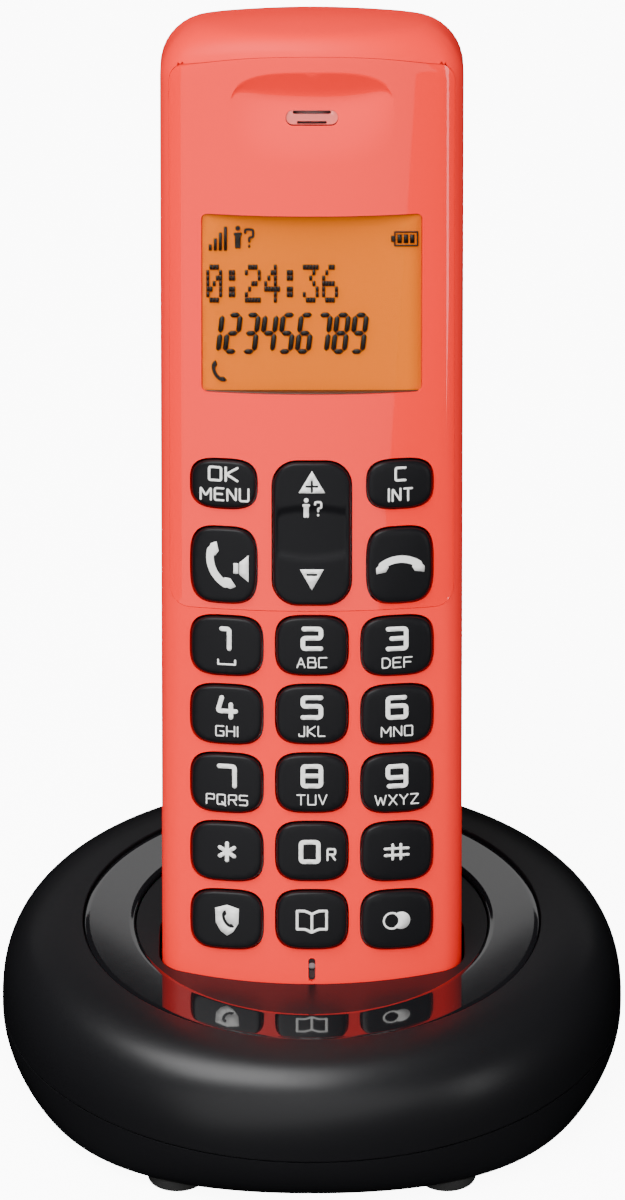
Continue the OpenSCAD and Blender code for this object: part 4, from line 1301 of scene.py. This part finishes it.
def sleeve(name, colour, band_colour):
    """printed cell sleeve: a dark body with bright bands"""
    f = moulded(name, colour, 0.3, coat=0.5)
    wave = f.add("ShaderNodeTexWave", Scale=9.0, Distortion=0.0)
    wave.wave_type, wave.bands_direction = "BANDS", "Z"
    band = f.add("ShaderNodeValToRGB")
    band.color_ramp.interpolation = "CONSTANT"
    band.color_ramp.elements[0].color = (*colour, 1)
    band.color_ramp.elements[1].position = 0.86
    band.color_ramp.elements[1].color = (*band_colour, 1)
    f.wire(f.coords, wave.inputs["Vector"])
    f.wire(wave.outputs["Fac"], band.inputs["Fac"])
    f.wire(band.outputs["Color"], f.shader.inputs["Base Color"])
    return f


def clear_lens(name, mirror):
    """thin clear plastic: lets light straight through and keeps a share of sharp reflection"""
    f = Finish(name)
    haze = f.add("ShaderNodeTexNoise", Scale=120.0)
    f.wire(f.coords, haze.inputs["Vector"])
    gloss = f.add("ShaderNodeBsdfGlossy")
    f.wire(f.between(haze.outputs["Fac"], 0.006, 0.018), gloss.inputs["Roughness"])
    mix = f.add("ShaderNodeMixShader", Fac=mirror)
    f.wire(f.add("ShaderNodeBsdfTransparent").outputs[0], mix.inputs[1])
    f.wire(gloss.outputs[0], mix.inputs[2])
    out = next(n for n in f.tree.nodes if n.type == "OUTPUT_MATERIAL")
    f.wire(mix.outputs[0], out.inputs["Surface"])
    f.tree.nodes.remove(f.shader)
    return f


CORAL, BLACK = (0.96, 0.012, 0.008), (0.006, 0.006, 0.007)
PLAIN = {  # colour, roughness and what differs from a plain moulding
    "coral_satin": (CORAL, 0.45, dict(bump=0.03, specular=0.25)),
    "coral_gloss": (CORAL, 0.3, dict(coat=1.0, specular=0.1, bump=0.004, rough_play=0.03, mottle=0.02)),
    "key_black": (BLACK, 0.34, dict(bump=0.03, specular=0.2)),
    "base_black": (BLACK, 0.36, dict(bump=0.03)),
    "disc_gloss_black": (BLACK, 0.05, dict(coat=1.0, bump=0.002, rough_play=0.02)),
    "foot_rubber": ((0.018, 0.018, 0.018), 0.75, dict(bump=0.12, grain=1600.0)),
    "silicone": ((0.30, 0.30, 0.31), 0.55, dict(bump=0.06)),
    "foam": ((0.035, 0.035, 0.037), 0.95, dict(bump=0.5, grain=2600.0)),
    "light_frame": ((0.78, 0.78, 0.76), 0.45, {}),
    "inner_plastic": ((0.05, 0.05, 0.052), 0.5, dict(bump=0.05)),
    "lcd_glass": ((0.62, 0.125, 0.0), 0.5, dict(glow=0.1, mottle=0.02, specular=0.0)),
    "grille_insert": ((0.70, 0.13, 0.11), 0.4, dict(bump=0.05)),
    "segment_ink": ((0.006, 0.003, 0.001), 0.5, {}),
    "marking_white": ((0.80, 0.80, 0.78), 0.45, {}),
    # the well's colour is painted shade: a dark brown standing in for the shadow inside the window's edges,
    # on real walls
    "well_painted_shade": ((0.045, 0.014, 0.006), 0.5, {})}
MATS = {name: moulded(name, colour, rough, **more) for name, (colour, rough, more) in PLAIN.items()}
MATS["circuit_board"] = board("circuit_board", (0.012, 0.11, 0.045))
MATS["plated_steel"] = brushed("plated_steel", (0.62, 0.62, 0.63), 0.3)
MATS["gold_plate"] = brushed("gold_plate", (0.83, 0.58, 0.20), 0.22)
MATS["cell_sleeve"] = sleeve("cell_sleeve", (0.02, 0.10, 0.05), (0.65, 0.65, 0.62))
MATS["display_window"] = clear_lens("display_window", 0.008)


def dress(obj, mat):
    """one material on a piece, and the slot that it takes its finish from"""
    obj.data.materials.clear()
    obj.data.materials.append(MATS[mat].mat)
    for poly in obj.data.polygons:
        poly.material_index = 0


def softened(node, width):
    """rolls the edges of a CAD node that is shown as it is"""
    weld = node.modifiers.new("weld", "WELD")
    weld.merge_threshold = 1e-6
    rolled(node, width, 2, 35)


# ---- stage, camera and light
CAMERA_RISE = math.radians(30.15)
CAMERA_AWAY = 2.0
AIM = Vector((0.0001, 0, 0.0846))
FRAME_HEIGHT = 0.1905  # metres of the object's plane that fill the picture's height
FLOOR_GLOW, WORLD_GLOW = 9.0, 0.5
FRONT_SLANT = math.radians(22)
LIGHTS = {  # centre, direction of the width, of the height, size, radiance
    "front_softbox": ((-0.158, -1.0, 0.45), (math.cos(FRONT_SLANT), 0, math.sin(FRONT_SLANT)), (0, 0, 1),
                      (2.0, 1.0), 0.9),
    "top_softbox": ((-0.5, -0.35, 1.2), (1, 0, 0), (0, 1, 0), (1.1, 0.8), 7.5),
    "fill_softbox": ((-0.35, -1.1, 1.1), (1, 0, 0), (0, 0.7, 0.7), (1.6, 1.0), 5.5),
    "edge_strip": ((0.95, -0.55, 0.3), (0.5, 0.85, 0), (0, 0, 1), (0.12, 0.5), 5.0)}
BACK_TILT = math.radians(15)  # slant of the back cards' top edges, which the black ring mirrors
BACK_EDGE = Vector((0.0395, 0.9, 0.582))


def camera():
    data = bpy.data.cameras.new("camera")
    data.sensor_fit = "VERTICAL"
    data.sensor_height = 24.0
    data.lens = data.sensor_height * CAMERA_AWAY / FRAME_HEIGHT
    data.clip_end = 20
    cam = bpy.data.objects.new("camera", data)
    bpy.context.scene.collection.objects.link(cam)
    cam.location = AIM + CAMERA_AWAY * Vector((0, -math.cos(CAMERA_RISE), math.sin(CAMERA_RISE)))
    cam.rotation_euler = (math.pi / 2 - CAMERA_RISE, 0, 0)
    bpy.context.scene.camera = cam


def softbox(name, centre, along, up, size, radiance):
    """rectangular light: its width runs along, its height up; radiance sets how bright it looks"""
    along, up = Vector(along).normalized(), Vector(up)
    up = (up - along * up.dot(along)).normalized()
    data = bpy.data.lights.new(name, "AREA")
    data.shape = "RECTANGLE"
    data.size, data.size_y = size
    data.energy = radiance * math.pi * size[0] * size[1]
    lamp = bpy.data.objects.new(name, data)
    bpy.context.scene.collection.objects.link(lamp)
    back = along.cross(up)
    if back.dot(Vector(centre) - Vector((0, 0, 0.08))) < 0:
        along, back = -along, -back
    lamp.matrix_world = Matrix.Translation(centre) @ Matrix((along, up, back)).transposed().to_4x4()


def stage():
    mesh = mesh_from("floor", [(-3, -3, 0), (3, -3, 0), (3, 3, 0), (-3, 3, 0)], [(0, 1, 2, 3)], True)
    floor = link("floor", mesh, Matrix.Identity(4))
    pale = bpy.data.materials.new("floor_pale")
    pale.use_nodes = True
    settle(pale.node_tree.nodes["Principled BSDF"], Base_Color=(0.9, 0.9, 0.9, 1), Roughness=0.9,
           Emission_Color=(1, 1, 1, 1), Emission_Strength=FLOOR_GLOW)
    floor.data.materials.append(pale)
    floor.visible_glossy = floor.visible_diffuse = False
    world = bpy.data.worlds.new("studio")
    world.use_nodes = True
    settle(world.node_tree.nodes["Background"], Color=(1, 1, 1, 1), Strength=WORLD_GLOW)
    world.cycles_visibility.glossy = False
    bpy.context.scene.world = world
    for name, (centre, along, up, box, radiance) in LIGHTS.items():
        softbox(name, centre, along, up, box, radiance)
    bpy.data.objects["fill_softbox"].visible_glossy = False
    for name, side in (("back_left", -1), ("back_right", 1)):
        run = Vector((-side * math.cos(BACK_TILT), 0, math.sin(BACK_TILT)))
        rise = Vector((side * math.sin(BACK_TILT), 0, math.cos(BACK_TILT)))
        edge = Vector((side * BACK_EDGE.x, BACK_EDGE.y, BACK_EDGE.z))
        softbox(name, edge - run * 0.35 - rise * 0.05, run, rise, (0.8, 0.1), 0.75)


# ---- build
camera()
stage()
for make in (front_shell, rear_shell, battery_cover):
    dress(make(), "coral_satin")
dress(front_panel(), "coral_gloss")
dress(slot_bar(), "grille_insert")
for piece in battery_bay():
    dress(piece, "coral_satin")
for name in KEYS:
    dress(key_piece(name), "key_black")
    dress(key_marking(name), "marking_white")
light, marks, well, lens = display()
dress(light, "lcd_glass")
dress(marks, "segment_ink")
# the well is dressed in painted shade: dark brown walls in place of the shadow at the window's edges
dress(well, "well_painted_shade")
dress(lens, "display_window")
for make in (base_upper, base_lower, cradle_cup, page_button):
    dress(make(), "base_black")
dress(cradle_disc(), "disc_gloss_black")
for i, (x, y) in enumerate(FEET):
    dress(foot(x, y, "foot_%d" % (i + 1)), "foot_rubber")

KEPT = {  # CAD nodes shown as they are: width of their rolled edges, mm
    "plated_steel": {"handset_rf_shield": 0.1, "earpiece_receiver": 0.3, "microphone": 0.15,
                     "battery_springs": 0.0, "battery_plates": 0.1, "handset_screws": 0.08,
                     "base_screws": 0.08, "base_rf_shield": 0.1},
    "inner_plastic": {"microphone_boot": 0.15, "loudspeaker": 0.3, "contact_block": 0.2,
                      "line_socket": 0.2, "page_switch": 0.2},
    "gold_plate": {"handset_contacts": 0.2, "charge_pin_left": 0.05, "charge_pin_right": 0.05},
    "circuit_board": {"handset_pcb": 0.1, "base_pcb": 0.1},
    "light_frame": {"lcd_holder": 0.2, "power_socket": 0.2},
    "silicone": {"keypad_mat": 0.2}, "foam": {"earpiece_seal": 0.1}, "cell_sleeve": {"battery_cells": 0.3}}
for mat, widths in KEPT.items():
    for name, width in widths.items():
        dress(frame["nodes"][name], mat)
        if width:
            softened(frame["nodes"][name], width)
